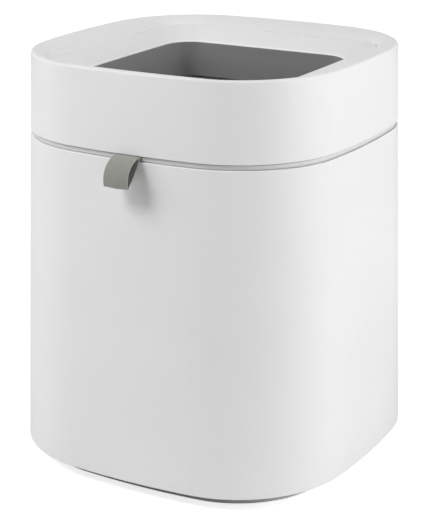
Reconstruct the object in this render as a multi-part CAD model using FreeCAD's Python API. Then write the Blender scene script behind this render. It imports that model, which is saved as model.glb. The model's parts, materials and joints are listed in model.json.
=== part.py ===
"""Self-sealing waste bin: a squircle drum with a hinged head that seals and changes its own bag.

Millimetres. +Z is up, -Y is the front (the side with the pull tab), +X is the right-hand side.
The origin is the centre of the foot ring's underside, on the floor.
"""
import FreeCAD, Part
import math
import os

from FreeCAD import Vector

# ---------------------------------------------------------------- outer form
rim_width = 272.0            # outer width and depth at the rim
total_height = 346.0         # floor to rim
wall_draft = 2.0             # degrees: the walls lean out towards the floor
side_crown_radius = 571.0    # each side is a shallow arc
corner_radius = 87.0         # outer corners at the rim
wall = 2.6                   # outer walls
rim_round = 1.8              # rounding of the rim's outer edge
edge_round = 0.6             # rounding of the walls' edges at the split and at the base

# ---------------------------------------------------------------- dished mouth
dish_outer_width = 29.4      # rim wall to parting line, measured on a side's middle
dish_inner_width = 21.5      # parting line to the edge of the opening
dish_depth = 16.6            # rim down to the edge of the opening
dish_rim_slope = 0.12        # slope of the dish where it leaves the rim
dish_curve = 2.1             # how late the dish steepens towards the opening
line_crown_radius = 9000.0
line_corner_radius = 26.0
mouth_crown_radius = 5500.0
mouth_corner_radius = 24.0
dish_wall = 2.4
line_gap = 0.35              # parting line round the ring cover
lip_thickness = 1.6          # lip that turns down round the opening
lip_height = 3.0

past_edge = 1.06             # how far cutters run past the edge that they cut, as a share

# ---------------------------------------------------------------- heights of the split
reveal_strip = 3.0           # visible height of the collar strip
reveal_gap = 0.7             # dark gap above and below the strip
reveal_inset = 1.8           # how far the strip lies back from the walls
head_height = 63.7           # rim down to the head's lower edge
body_lift = 12.0             # floor to the body shell's lower edge
collar_skirt = 10.0          # collar's skirt inside the body shell
flange_drop = 0.4            # flange's underside below the strip
ledge_width = 4.0            # flange's overhang inside the liner
gasket_width = 4.0
gasket_seat = 1.2            # depth of the gasket's groove

# ---------------------------------------------------------------- general fits
fit_gap = 0.3                # gap between pieces that only lie beside each other
slip_gap = 0.5               # gap round pieces that drop into one another
running_gap = 0.05           # radial clearance of a turning or sliding fit
plate = 2.0                  # moulded inner plates and walls

# ---------------------------------------------------------------- foot and base
foot_height = 3.5
foot_width = 8.0
foot_inset = 6.5             # foot's outside inside the rim's outline
base_inset = 18.0            # pan's side inside the body's wall
base_pan_wall = 2.5
base_plate_thickness = 3.0
base_screw_shift = 45.0      # screws from the middle, along the side
base_screw_set_in = 1.5      # screws inside the foot's middle line, for the crown of the sides
base_boss_height = 16.0
base_boss_web = 24.0         # rib from a boss into the wall
base_screw_grip = 10.0       # length of thread in the boss
pilot_spare = 2.0            # screw holes are this much deeper than the screws
screw_radius = 1.3
screw_head_radius = 2.6
screw_head_height = 1.6
boss_radius = 4.0
rib_half = 1.5
driver_slot_half = 0.35
driver_depth = 0.8

# ---------------------------------------------------------------- liner and fan
liner_side_gap = 16.0        # liner's outside to the shell's rim line at the front and sides
fan_bay = 32.0               # the same at the back, where the fan stands
fan_size = 60.0
fan_depth = 15.0
fan_height = 62.0            # fan axis above the floor
fan_bore = 27.0
fan_hub_radius = 11.0
fan_plate = 2.5              # hub disc and struts
fan_strut_half = 1.5
fan_struts = 3
fan_stator_depth = 3.0
fan_shaft_radius = 1.5
fan_shaft_end = 3.0          # shaft's end from the frame's back
fan_tip_gap = 1.0
blade_pitch = 38.0           # degrees
fan_blades = 7
blade_thickness = 1.4
grille_slot = 2.6
grille_pitch = 6.0
grille_margin = 5.0
liner_vent_radius = 2.6
liner_vent_pitch = 11.0
liner_vent_rows = 5

# ---------------------------------------------------------------- head mechanism
cover_plate = 2.5            # bottom cover of the head
tray_screw_shift = 62.0      # screws from the middle, along each side
cover_screw_shift = 26.0
tray_screw_grip = 12.0
cover_screw_cap = 4.0        # solid left above the cover screws' holes
seat_depth = 20.0            # rim down to the ring cover's seat
well_inset = 1.5             # well's wall inside the parting line
zone_height = 14.0           # free height for the gather mechanism
gather_height = 9.0          # height of the gather bar
gather_blade = 3.5
pad_thickness = 2.0
heater_thickness = 7.5
heater_block_thickness = 6.0
shaft_radius = 2.0
rod_radius = 2.0
gear_module = 0.8
gear_teeth = 12
gear_width = 4.0
gear_backlash = 0.16
gear_pressure = 20.0         # degrees
rack_width = 6.0
motor_depth = 12.0
motor_height = 10.0
motor_length = 24.0
motor_gearbox = 9.0
motor_offset = 22.0          # motor's output face from the middle plane
motor_shaft_radius = 1.0
cradle_plate = 1.2
lug_width = 5.0
rod_post = 3.0               # length of the posts that hold the guide rods
rod_collar = 1.5             # material over a guide rod
rod_post_wall = 0.7          # material beside a guide rod
heater_end_gap = 6.0         # heater's ends inside the throat's half width
switch_width = 6.0
switch_offset = 18.0         # micro switch inside the left rack

# ---------------------------------------------------------------- refill and electrics
cassette_height = 21.0
film_height = 15.0
chute_wall = 1.6
chute_taper = 0.9
chute_set_out = 1.2          # chute's outside beyond the opening
cassette_set_out = 3.0       # refill's hole beyond the opening
battery_length = 100.0
battery_size = 19.0
battery_round = 6.0
board_length = 100.0
board_width = 18.0
board_thickness = 1.6
board_height = 7.0
stand_off_radius = 2.5
stand_off_inset = 8.0        # stand-offs from the board's ends
stand_off_shift = 5.0
chip_size = 10.0
chip_height = 1.6
coil_length = 12.0
coil_width = 8.0
coil_height = 6.0
capacitor_radius = 3.5
capacitor_height = 9.0
capacitor_pitch = 9.0
connector_length = 14.0
connector_size = 7.0
button_board_half = 13.0
button_board_gap = 12.0      # board's face inside the rear wall
button_board_rise = 8.0      # board's top above the button's axis
switch_half = 3.2
switch_depth = 3.0
button_radius = 6.0
button_travel = 1.2
button_proud = 1.4           # button's face behind the rear wall
button_edge = 0.8
button_flange = 1.5
button_stem_radius = 2.0
socket_bore = 2.8
socket_depth = 9.0
socket_back = 4.0            # solid behind the socket's bore
socket_recess = 0.6
socket_pin_radius = 0.8
socket_pin_recess = 1.5
socket_offset = 42.0
light_offset = 20.0
light_radius = 1.5
light_fit = 0.1
rear_fittings_lift = 17.0    # axis of the button, light and inlet above the tray

# ---------------------------------------------------------------- hinge
hinge_offset = 45.0          # middle of each hinge from the middle plane
hinge_stand_off = 1.7        # hinge axis behind the rear wall
knuckle_radius = 3.8
knuckle_clearance = 0.6
knuckle_width = 12.0
ear_width = 5.7
pin_radius = 1.5
hinge_leaf = 2.5
bracket_reach = 18.0         # bracket's leaf ahead of the hinge axis
bracket_drop = 6.0           # bracket's leaf below the strip
seat_reach = 8.0             # back of the collar's seat ahead of the hinge axis
post_gap = 1.8               # collar ahead of the bracket's posts
arm_reach = 20.0             # arm's leaf ahead of the hinge axis
hinge_notch_depth = 15.0     # notches for the arms from the rim line

# ---------------------------------------------------------------- latch and pull tab
latch_travel = 3.0
latch_width = 18.0
latch_thickness = 2.0
latch_length = 20.0
latch_hook = 3.0
latch_hook_height = 2.0
latch_plate_side = 6.0       # slide's plate beyond the hook on each side
striker_thickness = 0.8
striker_side = 4.0           # striker beyond the latch slot on each side
spring_radius = 1.6
spring_wire_radius = 0.3
spring_wire_sides = 8
spring_pitch = 1.4
spring_end_gap = 0.4
spring_lift = 1.2            # spring's axis above the slide's middle
latch_set_back = 6.5         # latch leg's front behind the head wall's inside
clamp_thickness = 1.0
clamp_height = 2.5
tab_width = 21.5
tab_thickness = 0.9
tab_drop = 22.0              # exit to bottom fold
tab_reach = 18.0             # bottom fold out from the wall
tab_bulge = 5.5              # how far the front layer bows out past a straight line
tab_exit_gap = 0.2           # where the loop starts, outside the wall

# ---------------------------------------------------------------- derived places
rim_half = rim_width / 2
head_low = total_height - head_height
strip_high = head_low - reveal_gap
strip_low = strip_high - reveal_strip
body_high = strip_low - reveal_gap
dish_width = dish_outer_width + dish_inner_width - wall
line_share = (dish_outer_width - wall) / dish_width
mouth_half = rim_half - dish_outer_width - dish_inner_width
line_half = rim_half - dish_outer_width
mouth_low = total_height - dish_depth
base_low = foot_height
base_high = body_lift + base_plate_thickness

cover_low = head_low + fit_gap
cover_high = cover_low + cover_plate
floor_low = cover_high + zone_height
floor_high = floor_low + plate
throat_half = mouth_half + slip_gap * 2
pitch_radius = gear_module * gear_teeth / 2
tip_radius = pitch_radius + gear_module
shaft_z = cover_high + zone_height / 2
gather_low = shaft_z - pitch_radius + gear_module + fit_gap * 1.5
gather_high = gather_low + gather_height
gather_front = throat_half + fit_gap + pad_thickness
shaft_y = gather_front + gather_blade + tip_radius + slip_gap
motor_y = shaft_y + 2 * pitch_radius
lug_back = shaft_y - slip_gap
seal_line = -(mouth_half + 2 * slip_gap)
gather_travel = (gather_front - pad_thickness) - (seal_line + slip_gap)

well_half = line_half - well_inset
cassette_half = well_half - plate
seat_high = total_height - seat_depth
seat_ledge = seat_high + plate

hinge_z = strip_low + (head_low - strip_low) / 3
rear_fittings_height = floor_high + rear_fittings_lift


# ================================================================ outlines and simple solids
def box(x_low, x_high, y_low, y_high, z_low, z_high):
    """Block between two corners."""
    return Part.makeBox(x_high - x_low, y_high - y_low, z_high - z_low, Vector(x_low, y_low, z_low))


def centred_box(half_x, y_low, y_high, z_low, z_high):
    """Block that is symmetric about the middle plane."""
    return box(-half_x, half_x, y_low, y_high, z_low, z_high)


def cylinder(radius, start, end):
    """Round bar between two points."""
    start = Vector(*start)
    way = Vector(*end) - start
    return Part.makeCylinder(radius, way.Length, start, way)


def rounded_block(x_low, x_high, y_low, y_high, z_low, z_high, radius):
    """Block with its four upright edges rounded."""
    block = box(x_low, x_high, y_low, y_high, z_low, z_high)
    upright = []
    for edge in block.Edges:
        if abs(edge.Vertexes[0].Z - edge.Vertexes[1].Z) > (z_high - z_low) / 2:
            upright.append(edge)
    return block.makeFillet(radius, upright)


def arc_edge(centre, radius, start, end, turn, z):
    """Arc about a centre in the plan, with the centre and arc turned together about the Z axis."""
    cosine = math.cos(turn)
    sine = math.sin(turn)
    points = []
    for angle in (start, (start + end) / 2, end):
        x = centre[0] + radius * math.cos(angle)
        y = centre[1] + radius * math.sin(angle)
        points.append(Vector(x * cosine - y * sine, x * sine + y * cosine, z))
    return Part.Arc(*points).toShape()


def corner_centre(half, crown, corner):
    """Where a corner's centre lies on the diagonal so that it is tangent to both crowned sides."""
    side_centre = half - crown
    span = crown - corner
    return (side_centre + math.sqrt(2 * span * span - side_centre * side_centre)) / 2


def crowned_square(half, crown, corner, z):
    """Closed outline: four crowned sides joined by four tangent corner arcs."""
    side_centre = half - crown
    centre = corner_centre(half, crown, corner)
    meet = math.atan2(centre, centre - side_centre)
    edges = []
    for quarter in range(4):
        turn = quarter * math.pi / 2
        edges.append(arc_edge((side_centre, 0), crown, -meet, meet, turn, z))
        edges.append(arc_edge((centre, centre), corner, meet, math.pi / 2 - meet, turn, z))
    return Part.Wire(edges)


def stack(*outlines):
    """Solid through outlines laid one above the other, straight between neighbours."""
    return Part.makeLoft(list(outlines), True, True)


def wall_growth(z):
    """How much wider than the rim the drafted wall is at a height."""
    return (total_height - z) * math.tan(math.radians(wall_draft))


def wall_outline(z, inset=0.0):
    """The drum's outline at a height, moved inwards by an inset."""
    grow = wall_growth(z) - inset
    return crowned_square(rim_half + grow, side_crown_radius + grow, corner_radius + grow, z)


def drum(z_low, z_high, inset=0.0):
    """Solid slice of the drum between two heights."""
    return stack(wall_outline(z_low, inset), wall_outline(z_high, inset))


def rounded_drum(z_low, z_high, high_round):
    """Slice of the drum with its lower and upper edges rounded."""
    low_levels = []
    high_levels = []
    for degrees in (0, 30, 60, 90):
        sine = math.sin(math.radians(degrees))
        cosine = math.cos(math.radians(degrees))
        low_levels.append(wall_outline(z_low + edge_round * (1 - sine), edge_round * (1 - cosine)))
        high_levels.append(wall_outline(z_high - high_round * (1 - sine), high_round * (1 - cosine)))
    return stack(*reversed(low_levels), *high_levels)


def band(z_low, z_high, outer_inset, inner_inset):
    """Ring-shaped slice of the drum between two insets."""
    return drum(z_low, z_high, outer_inset).cut(drum(z_low - 1, z_high + 1, inner_inset))


def rear_wall_y(x, z, inset=0.0):
    """Distance of the rear wall behind the middle, on its crowned part."""
    grow = wall_growth(z) - inset
    crown = side_crown_radius + grow
    return rim_half + grow - crown + math.sqrt(crown * crown - x * x)


def corner_reach(y, z, inset):
    """How far out in X the drum's corner still reaches at a given Y."""
    grow = wall_growth(z) - inset
    centre = corner_centre(rim_half, side_crown_radius, corner_radius)
    return centre + math.sqrt((corner_radius + grow) ** 2 - (y - centre) ** 2)


def dish_drop(share):
    """Depth of the dish below the rim, from the rim's edge (0) to the opening (1)."""
    linear = dish_rim_slope * dish_width
    return linear * share + (dish_depth - linear) * share ** dish_curve


def dish_outline(share, lower=0.0, shrink=0.0):
    """Outline of the dish from the rim's edge (0) to the opening (1), lowered and shrunk if asked."""
    start = rim_half - wall
    half = start + (mouth_half - start) * share
    if share < line_share:
        part = share / line_share
        corner = (corner_radius - wall) * (1 - part) + line_corner_radius * part
        bend = (1 - part) / side_crown_radius + part / line_crown_radius
    else:
        part = (share - line_share) / (1 - line_share)
        corner = line_corner_radius * (1 - part) + mouth_corner_radius * part
        bend = (1 - part) / line_crown_radius + part / mouth_crown_radius
    z = total_height - dish_drop(share) - lower
    return crowned_square(half - shrink, 1 / bend - shrink, corner - shrink, z)


def square_prism(half, corner, z_low, z_high):
    """Upright prism over a rounded square that follows the parting line's crown."""
    low = crowned_square(half, line_crown_radius, corner, z_low)
    high = crowned_square(half, line_crown_radius, corner, z_high)
    return stack(low, high)


def square_ring(outer_half, inner_half, corner, z_low, z_high):
    """Ring between two rounded squares whose corners share their centres."""
    outer = square_prism(outer_half, corner, z_low, z_high)
    inner = square_prism(inner_half, corner - (outer_half - inner_half), z_low - 1, z_high + 1)
    return outer.cut(inner)


def screw(x, y, z_head, length):
    """Screw pointing up from its head's underside, with a cross recess."""
    head = cylinder(screw_head_radius, (x, y, z_head), (x, y, z_head + screw_head_height))
    under_head = z_head + screw_head_height
    shank = cylinder(screw_radius, (x, y, under_head), (x, y, under_head + length))
    arm = screw_head_radius * 0.6
    slot = driver_slot_half
    recess = box(x - arm, x + arm, y - slot, y + slot, z_head - 1, z_head + driver_depth)
    recess = recess.fuse(box(x - slot, x + slot, y - arm, y + arm, z_head - 1, z_head + driver_depth))
    return head.fuse(shank).cut(recess).removeSplitter()


# ---------------------------------------------------------------- places that several pieces share
line_z = total_height - dish_drop(line_share)
rod_wall_inset = wall + slip_gap + plate
lug_reach = corner_reach(lug_back, cover_high, rod_wall_inset) - 3 * slip_gap
rod_x = lug_reach - rod_radius - rod_collar
rod_post_half = rod_radius + rod_post_wall
rack_outer = rod_x - rod_radius - slip_gap * 2
rack_inner = rack_outer - rack_width
ear_inner = hinge_offset - knuckle_width / 2 - fit_gap
hinge_y = rear_wall_y(0, hinge_z) + hinge_stand_off
screw_line = (well_half + plate + rim_half - wall - slip_gap - plate) / 2
base_screw_x = rim_half - foot_inset - foot_width / 2 - base_screw_set_in
liner_half = rim_half - liner_side_gap - plate
liner_corner = corner_radius - liner_side_gap - plate
liner_back = rim_half - fan_bay

bracket_half = knuckle_width / 2 + fit_gap + ear_width
bracket_plate_high = strip_low - bracket_drop
bracket_plate_low = bracket_plate_high - hinge_leaf

flange_low = strip_low - flange_drop
skirt_low = body_high - collar_skirt
collar_inner = liner_half - plate - ledge_width
collar_back = liner_back - plate - ledge_width

latch_low = cover_high + fit_gap
latch_slot_half = latch_width / 2 + slip_gap * 2
latch_front = -(rim_half - wall - latch_set_back)
latch_leg_back = latch_front + latch_thickness
hook_tip = latch_leg_back + latch_hook
striker_edge = latch_leg_back + slip_gap
tab_high = head_low - fit_gap
tab_low = tab_high - 2 * tab_thickness

gasket_half = -hook_tip - 2 * slip_gap - gasket_width / 2
gasket_corner = corner_radius - (rim_half - gasket_half) + gasket_width / 2

fan_back = rear_wall_y(fan_size / 2, fan_height + fan_size / 2, wall) - fit_gap
fan_front = fan_back - fan_depth

cassette_low = floor_high + fit_gap
cassette_hole = mouth_half + cassette_set_out

button_board_y = rim_half - wall - button_board_gap
button_back = button_board_y + switch_depth + button_travel + slip_gap

gear_x = motor_offset - slip_gap * 2 - gear_width
tooth_angle = math.pi / gear_teeth

tray_screw_places = []
cover_screw_places = []
base_screw_places = []
for side in (-1, 1):
    for shift in (-tray_screw_shift, tray_screw_shift):
        tray_screw_places.append((side * screw_line, shift))
        tray_screw_places.append((shift, side * screw_line))
    for shift in (-cover_screw_shift, cover_screw_shift):
        cover_screw_places.append((side * screw_line, shift))
    for shift in (-base_screw_shift, base_screw_shift):
        base_screw_places.append((side * base_screw_x, shift))
for shift in (-cover_screw_shift, cover_screw_shift):
    cover_screw_places.append((shift, -screw_line))


# ================================================================ body
def hinge_relief():
    """Round clearance about the hinge axis, over the width of each hinge."""
    reach = bracket_half + slip_gap
    radius = knuckle_radius + knuckle_clearance
    reliefs = []
    for x in (-hinge_offset, hinge_offset):
        reliefs.append(cylinder(radius, (x - reach, hinge_y, hinge_z), (x + reach, hinge_y, hinge_z)))
    return reliefs[0].fuse(reliefs[1])


def each_hinge(half_width, y_low, y_high, z_low, z_high):
    """The same block at both hinges."""
    left = box(-hinge_offset - half_width, -hinge_offset + half_width, y_low, y_high, z_low, z_high)
    right = box(hinge_offset - half_width, hinge_offset + half_width, y_low, y_high, z_low, z_high)
    return left.fuse(right)


def body_shell():
    """Outer wall of the drum, open above and below, with screw bosses and the rear fan window."""
    shell = rounded_drum(body_lift, body_high, edge_round).cut(drum(body_lift - 1, body_high + 1, wall))
    boss_high = base_high + base_boss_height
    for x, y in base_screw_places:
        reach = x + math.copysign(base_boss_web, x)
        boss = cylinder(boss_radius, (x, y, base_high), (x, y, boss_high))
        web = box(min(x, reach), max(x, reach), y - rib_half, y + rib_half, base_high, boss_high)
        boss = boss.fuse(web).common(drum(base_high, boss_high, wall / 2))
        pilot_high = base_high + base_screw_grip + pilot_spare
        boss = boss.cut(cylinder(screw_radius, (x, y, base_high - 1), (x, y, pilot_high)))
        shell = shell.fuse(boss)
    half = fan_size / 2 + fit_gap
    shell = shell.cut(centred_box(half, 0, rim_width, fan_height - half, fan_height + half)).cut(hinge_relief())
    notch = each_hinge(bracket_half + slip_gap, 0, rim_width, bracket_plate_low - fit_gap, body_high + 1)
    return shell.cut(notch).removeSplitter()


def rear_grille():
    """Slatted panel that fills the fan window and follows the rear wall."""
    low = fan_height - fan_size / 2
    high = fan_height + fan_size / 2
    panel = band(low, high, 0, wall).common(centred_box(fan_size / 2, 0, rim_width, low, high))
    count = int((high - low - 2 * grille_margin) / grille_pitch)
    start = fan_height - (count - 1) * grille_pitch / 2
    half_length = fan_size / 2 - grille_margin
    for row in range(count):
        z = start + row * grille_pitch
        panel = panel.cut(centred_box(half_length, 0, rim_width, z - grille_slot / 2, z + grille_slot / 2))
    return panel


def body_collar():
    """Frame in the drum's top: reveal strip, flange that carries the liner, and a skirt inside the shell."""
    skirt = band(skirt_low, strip_low, wall + fit_gap, wall + fit_gap + plate)
    strip = band(strip_low, strip_high, reveal_inset, reveal_inset + wall)
    inside = drum(flange_low, strip_low, wall + fit_gap).fuse(drum(strip_low, strip_high, reveal_inset))
    flange = drum(flange_low, strip_high, reveal_inset + wall / 2).common(inside)
    opening = rounded_block(-collar_inner, collar_inner, -collar_inner, collar_back, flange_low - 1,
                            strip_high + 1, liner_corner - plate - ledge_width)
    collar = skirt.fuse(strip).fuse(flange.cut(opening)).cut(gasket_shape(strip_high + 1))
    collar = collar.fuse(each_hinge(bracket_half, hinge_y - bracket_reach, hinge_y - seat_reach,
                                    bracket_plate_high, flange_low))
    tab_notch = centred_box(tab_width / 2 + slip_gap * 2, -rim_width, latch_front + 1,
                            tab_low - fit_gap, strip_high + 1)
    leg_slot = centred_box(latch_slot_half, latch_front - latch_travel - slip_gap * 2, latch_leg_back + fit_gap,
                           flange_low - 1, strip_high + 1)
    half = bracket_half + slip_gap
    post_notch = each_hinge(half, hinge_y - knuckle_radius - post_gap, rim_width, skirt_low - 1, strip_high + 1)
    leaf_notch = each_hinge(half, hinge_y - bracket_reach - slip_gap, rim_width, skirt_low - 1,
                            bracket_plate_high)
    collar = collar.cut(tab_notch).cut(leg_slot).cut(post_notch).cut(leaf_notch)
    return collar.cut(hinge_relief()).removeSplitter()


def gasket_shape(high):
    """The gasket's ring from the bottom of its groove up to a height."""
    low = strip_high - gasket_seat
    ring = square_prism(gasket_half + gasket_width / 2, gasket_corner, low, high)
    hole = square_prism(gasket_half - gasket_width / 2, gasket_corner - gasket_width, low - 1, high + 1)
    return ring.cut(hole)


def lid_gasket():
    """Rubber ring in the collar's groove, touching the head's bottom cover."""
    return gasket_shape(cover_low)


def inner_liner():
    """Tub that holds the bag, hung under the collar's flange, with vents towards the fan."""
    tub = rounded_block(-liner_half, liner_half, -liner_half, liner_back, base_high, flange_low, liner_corner)
    hollow = rounded_block(-liner_half + plate, liner_half - plate, -liner_half + plate, liner_back - plate,
                           base_high + plate, flange_low + 1, liner_corner - plate)
    tub = tub.cut(hollow)
    for column in range(liner_vent_rows):
        for row in range(liner_vent_rows):
            x = (column - (liner_vent_rows - 1) / 2) * liner_vent_pitch
            z = fan_height + (row - (liner_vent_rows - 1) / 2) * liner_vent_pitch
            tub = tub.cut(cylinder(liner_vent_radius, (x, liner_back - plate - 1, z), (x, liner_back + 1, z)))
    return tub


def base_plate():
    """Grey floor: a pan that shows under the body, with a flange that fits inside the shell."""
    hollow = drum(base_low + base_plate_thickness, base_high + 1, base_inset + base_pan_wall)
    for x, y in base_screw_places:
        hollow = hollow.cut(cylinder(boss_radius, (x, y, base_low), (x, y, base_high)))
    floor = drum(base_low, body_lift, base_inset).fuse(drum(body_lift, base_high, wall + fit_gap)).cut(hollow)
    head_high = base_low + screw_head_height
    for x, y in base_screw_places:
        recess = cylinder(screw_head_radius + fit_gap, (x, y, base_low - 1), (x, y, head_high))
        hole = cylinder(screw_radius, (x, y, base_low), (x, y, base_high + 1))
        floor = floor.cut(recess).cut(hole)
    return floor.removeSplitter()


def foot_ring():
    """Continuous rubber foot under the base plate."""
    return foot_prism(foot_inset, 0, foot_height).cut(foot_prism(foot_inset + foot_width, -1, foot_height + 1))


def foot_prism(inset, z_low, z_high):
    """Upright prism over the rim's outline, moved inwards by an inset."""
    low = crowned_square(rim_half - inset, side_crown_radius - inset, corner_radius - inset, z_low)
    return stack(low, low.translated(Vector(0, 0, z_high - z_low)))


def base_screws():
    """Four screws up through the base plate into the shell's bosses."""
    length = base_high + base_screw_grip - base_low - screw_head_height
    return Part.makeCompound([screw(x, y, base_low, length) for x, y in base_screw_places])


def fan_frame():
    """Square frame with a round bore and three struts that carry the motor."""
    half = fan_size / 2
    hub_back = fan_front + fan_plate
    frame = box(-half, half, fan_front, fan_back, fan_height - half, fan_height + half)
    frame = frame.cut(cylinder(fan_bore, (0, fan_front - 1, fan_height), (0, fan_back + 1, fan_height)))
    for turn in range(fan_struts):
        strut = box(fan_hub_radius / 2, fan_bore + 1, fan_front, hub_back, -fan_strut_half, fan_strut_half)
        strut.rotate(Vector(0, 0, 0), Vector(0, 1, 0), 90 + turn * 360.0 / fan_struts)
        strut.translate(Vector(0, 0, fan_height))
        frame = frame.fuse(strut)
    frame = frame.fuse(cylinder(fan_hub_radius - 1, (0, fan_front, fan_height), (0, hub_back, fan_height)))
    return frame.removeSplitter()


def fan_motor():
    """Stator and shaft on the frame's hub."""
    low = fan_front + fan_plate
    high = low + fan_stator_depth
    stator = cylinder(fan_hub_radius - 3, (0, low, fan_height), (0, high, fan_height))
    shaft_end = fan_back - fan_shaft_end
    return stator.fuse(cylinder(fan_shaft_radius, (0, high, fan_height), (0, shaft_end, fan_height)))


def fan_rotor():
    """Hub and pitched blades, running on the motor's shaft."""
    low = fan_front + fan_plate + fan_stator_depth + slip_gap
    high = fan_back - fan_shaft_end / 2
    rotor = cylinder(fan_hub_radius, (0, low, fan_height), (0, high, fan_height))
    tip = fan_bore - fan_tip_gap
    half = blade_thickness / 2
    for blade in range(fan_blades):
        vane = box(fan_hub_radius - 1.5, tip - 1.5, low + 1.5, high - slip_gap, -half, half)
        vane.rotate(Vector(0, (low + high) / 2, 0), Vector(1, 0, 0), blade_pitch)
        vane.rotate(Vector(0, 0, 0), Vector(0, 1, 0), blade * 360.0 / fan_blades)
        vane.translate(Vector(0, 0, fan_height))
        rotor = rotor.fuse(vane)
    rotor = rotor.common(cylinder(tip, (0, low, fan_height), (0, high, fan_height)))
    bore_end = fan_back - fan_shaft_end + slip_gap
    bore = cylinder(fan_shaft_radius + running_gap, (0, low - 1, fan_height), (0, bore_end, fan_height))
    return rotor.cut(bore).removeSplitter()


def fan_duct():
    """Square shroud from the liner's vents to the fan."""
    half = fan_size / 2
    duct = box(-half, half, liner_back, fan_front, fan_height - half, fan_height + half)
    inner = half - plate
    hollow = box(-inner, inner, liner_back - 1, fan_front + 1, fan_height - inner, fan_height + inner)
    return duct.cut(hollow)


# ================================================================ hinge
def hinge_bracket(side):
    """Body half of one hinge: two ears on a leaf that is screwed under the collar's seat."""
    x_middle = side * hinge_offset
    inner = knuckle_width / 2 + fit_gap
    bracket = box(x_middle - bracket_half, x_middle + bracket_half, hinge_y - bracket_reach,
                  hinge_y + knuckle_radius, bracket_plate_low, bracket_plate_high)
    for x_low in (x_middle - inner - ear_width, x_middle + inner):
        post = box(x_low, x_low + ear_width, hinge_y - knuckle_radius, hinge_y + knuckle_radius,
                   bracket_plate_low, hinge_z)
        ear = cylinder(knuckle_radius, (x_low, hinge_y, hinge_z), (x_low + ear_width, hinge_y, hinge_z))
        bracket = bracket.fuse(post).fuse(ear)
    bore = cylinder(pin_radius, (x_middle - bracket_half, hinge_y, hinge_z),
                    (x_middle + bracket_half, hinge_y, hinge_z))
    sweep = cylinder(knuckle_radius + knuckle_clearance, (x_middle - inner, hinge_y, hinge_z),
                     (x_middle + inner, hinge_y, hinge_z))
    return bracket.cut(bore).cut(sweep).removeSplitter()


def hinge_arm(side):
    """Head half of one hinge: a barrel on a stepped arm that lies on the bottom cover."""
    x_low = side * hinge_offset - knuckle_width / 2
    x_high = x_low + knuckle_width
    y_high = hinge_y + knuckle_radius
    leaf = box(x_low, x_high, hinge_y - arm_reach, y_high, cover_high, cover_high + hinge_leaf)
    post = box(x_low, x_high, hinge_y - knuckle_radius, y_high, hinge_z, cover_high)
    barrel = cylinder(knuckle_radius, (x_low, hinge_y, hinge_z), (x_high, hinge_y, hinge_z))
    bore = cylinder(pin_radius + running_gap, (x_low - 1, hinge_y, hinge_z), (x_high + 1, hinge_y, hinge_z))
    return leaf.fuse(post).fuse(barrel).cut(bore).removeSplitter()


def hinge_pin(side):
    """Steel pin through both ears and the barrel."""
    x_middle = side * hinge_offset
    return cylinder(pin_radius, (x_middle - bracket_half, hinge_y, hinge_z),
                    (x_middle + bracket_half, hinge_y, hinge_z))


def arm_notch(z_low):
    """Clearance for both hinge arms through the back of a head piece."""
    return each_hinge(knuckle_width / 2 + slip_gap, rim_half - hinge_notch_depth, rim_width, z_low,
                      cover_high + hinge_leaf + fit_gap)


# ================================================================ head
def rear_hole(radius, x, z):
    """Round cutter through the rear wall."""
    return cylinder(radius, (x, rim_half - hinge_notch_depth, z), (x, rim_width, z))


def dish_void(lower, rim_shrink, top):
    """Everything above the outer dish's surface, optionally lowered to make its underside."""
    levels = []
    for part in (past_edge, 1, 2 / 3, 1 / 3):
        levels.append(dish_outline(line_share * part, lower))
    levels.append(wall_outline(total_height - lower, wall - rim_shrink))
    levels.append(wall_outline(top, wall - rim_shrink))
    return stack(*levels)


def head_shell():
    """Outer wall and outer dish in one moulding, with the seat for the ring cover and screw bosses."""
    outer = rounded_drum(head_low, total_height, rim_round).cut(dish_void(0, 0, total_height + 1))
    cavity = stack(wall_outline(head_low - 1, wall), wall_outline(total_height - dish_wall, wall))
    cavity = cavity.cut(dish_void(dish_wall, slip_gap, total_height + 1))
    shell = outer.cut(cavity).cut(square_prism(line_half, line_corner_radius, head_low, total_height))
    seat_corner = line_corner_radius + plate
    shell = shell.fuse(square_ring(line_half + plate, line_half, seat_corner, seat_high, line_z - 2 * slip_gap))
    shell = shell.fuse(square_ring(line_half + plate, well_half, seat_corner, seat_high, seat_ledge))
    pilot_high = floor_high + tray_screw_grip + pilot_spare
    for x, y in tray_screw_places:
        boss = cylinder(boss_radius, (x, y, floor_high), (x, y, total_height)).common(outer)
        shell = shell.fuse(boss.cut(cylinder(screw_radius, (x, y, floor_high - 1), (x, y, pilot_high))))
    shell = shell.cut(rear_hole(button_radius + fit_gap, 0, rear_fittings_height))
    shell = shell.cut(rear_hole(socket_bore + plate + fit_gap, socket_offset, rear_fittings_height))
    shell = shell.cut(rear_hole(light_radius + light_fit, light_offset, rear_fittings_height))
    return shell.cut(arm_notch(head_low - 1)).cut(hinge_relief()).removeSplitter()


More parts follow.
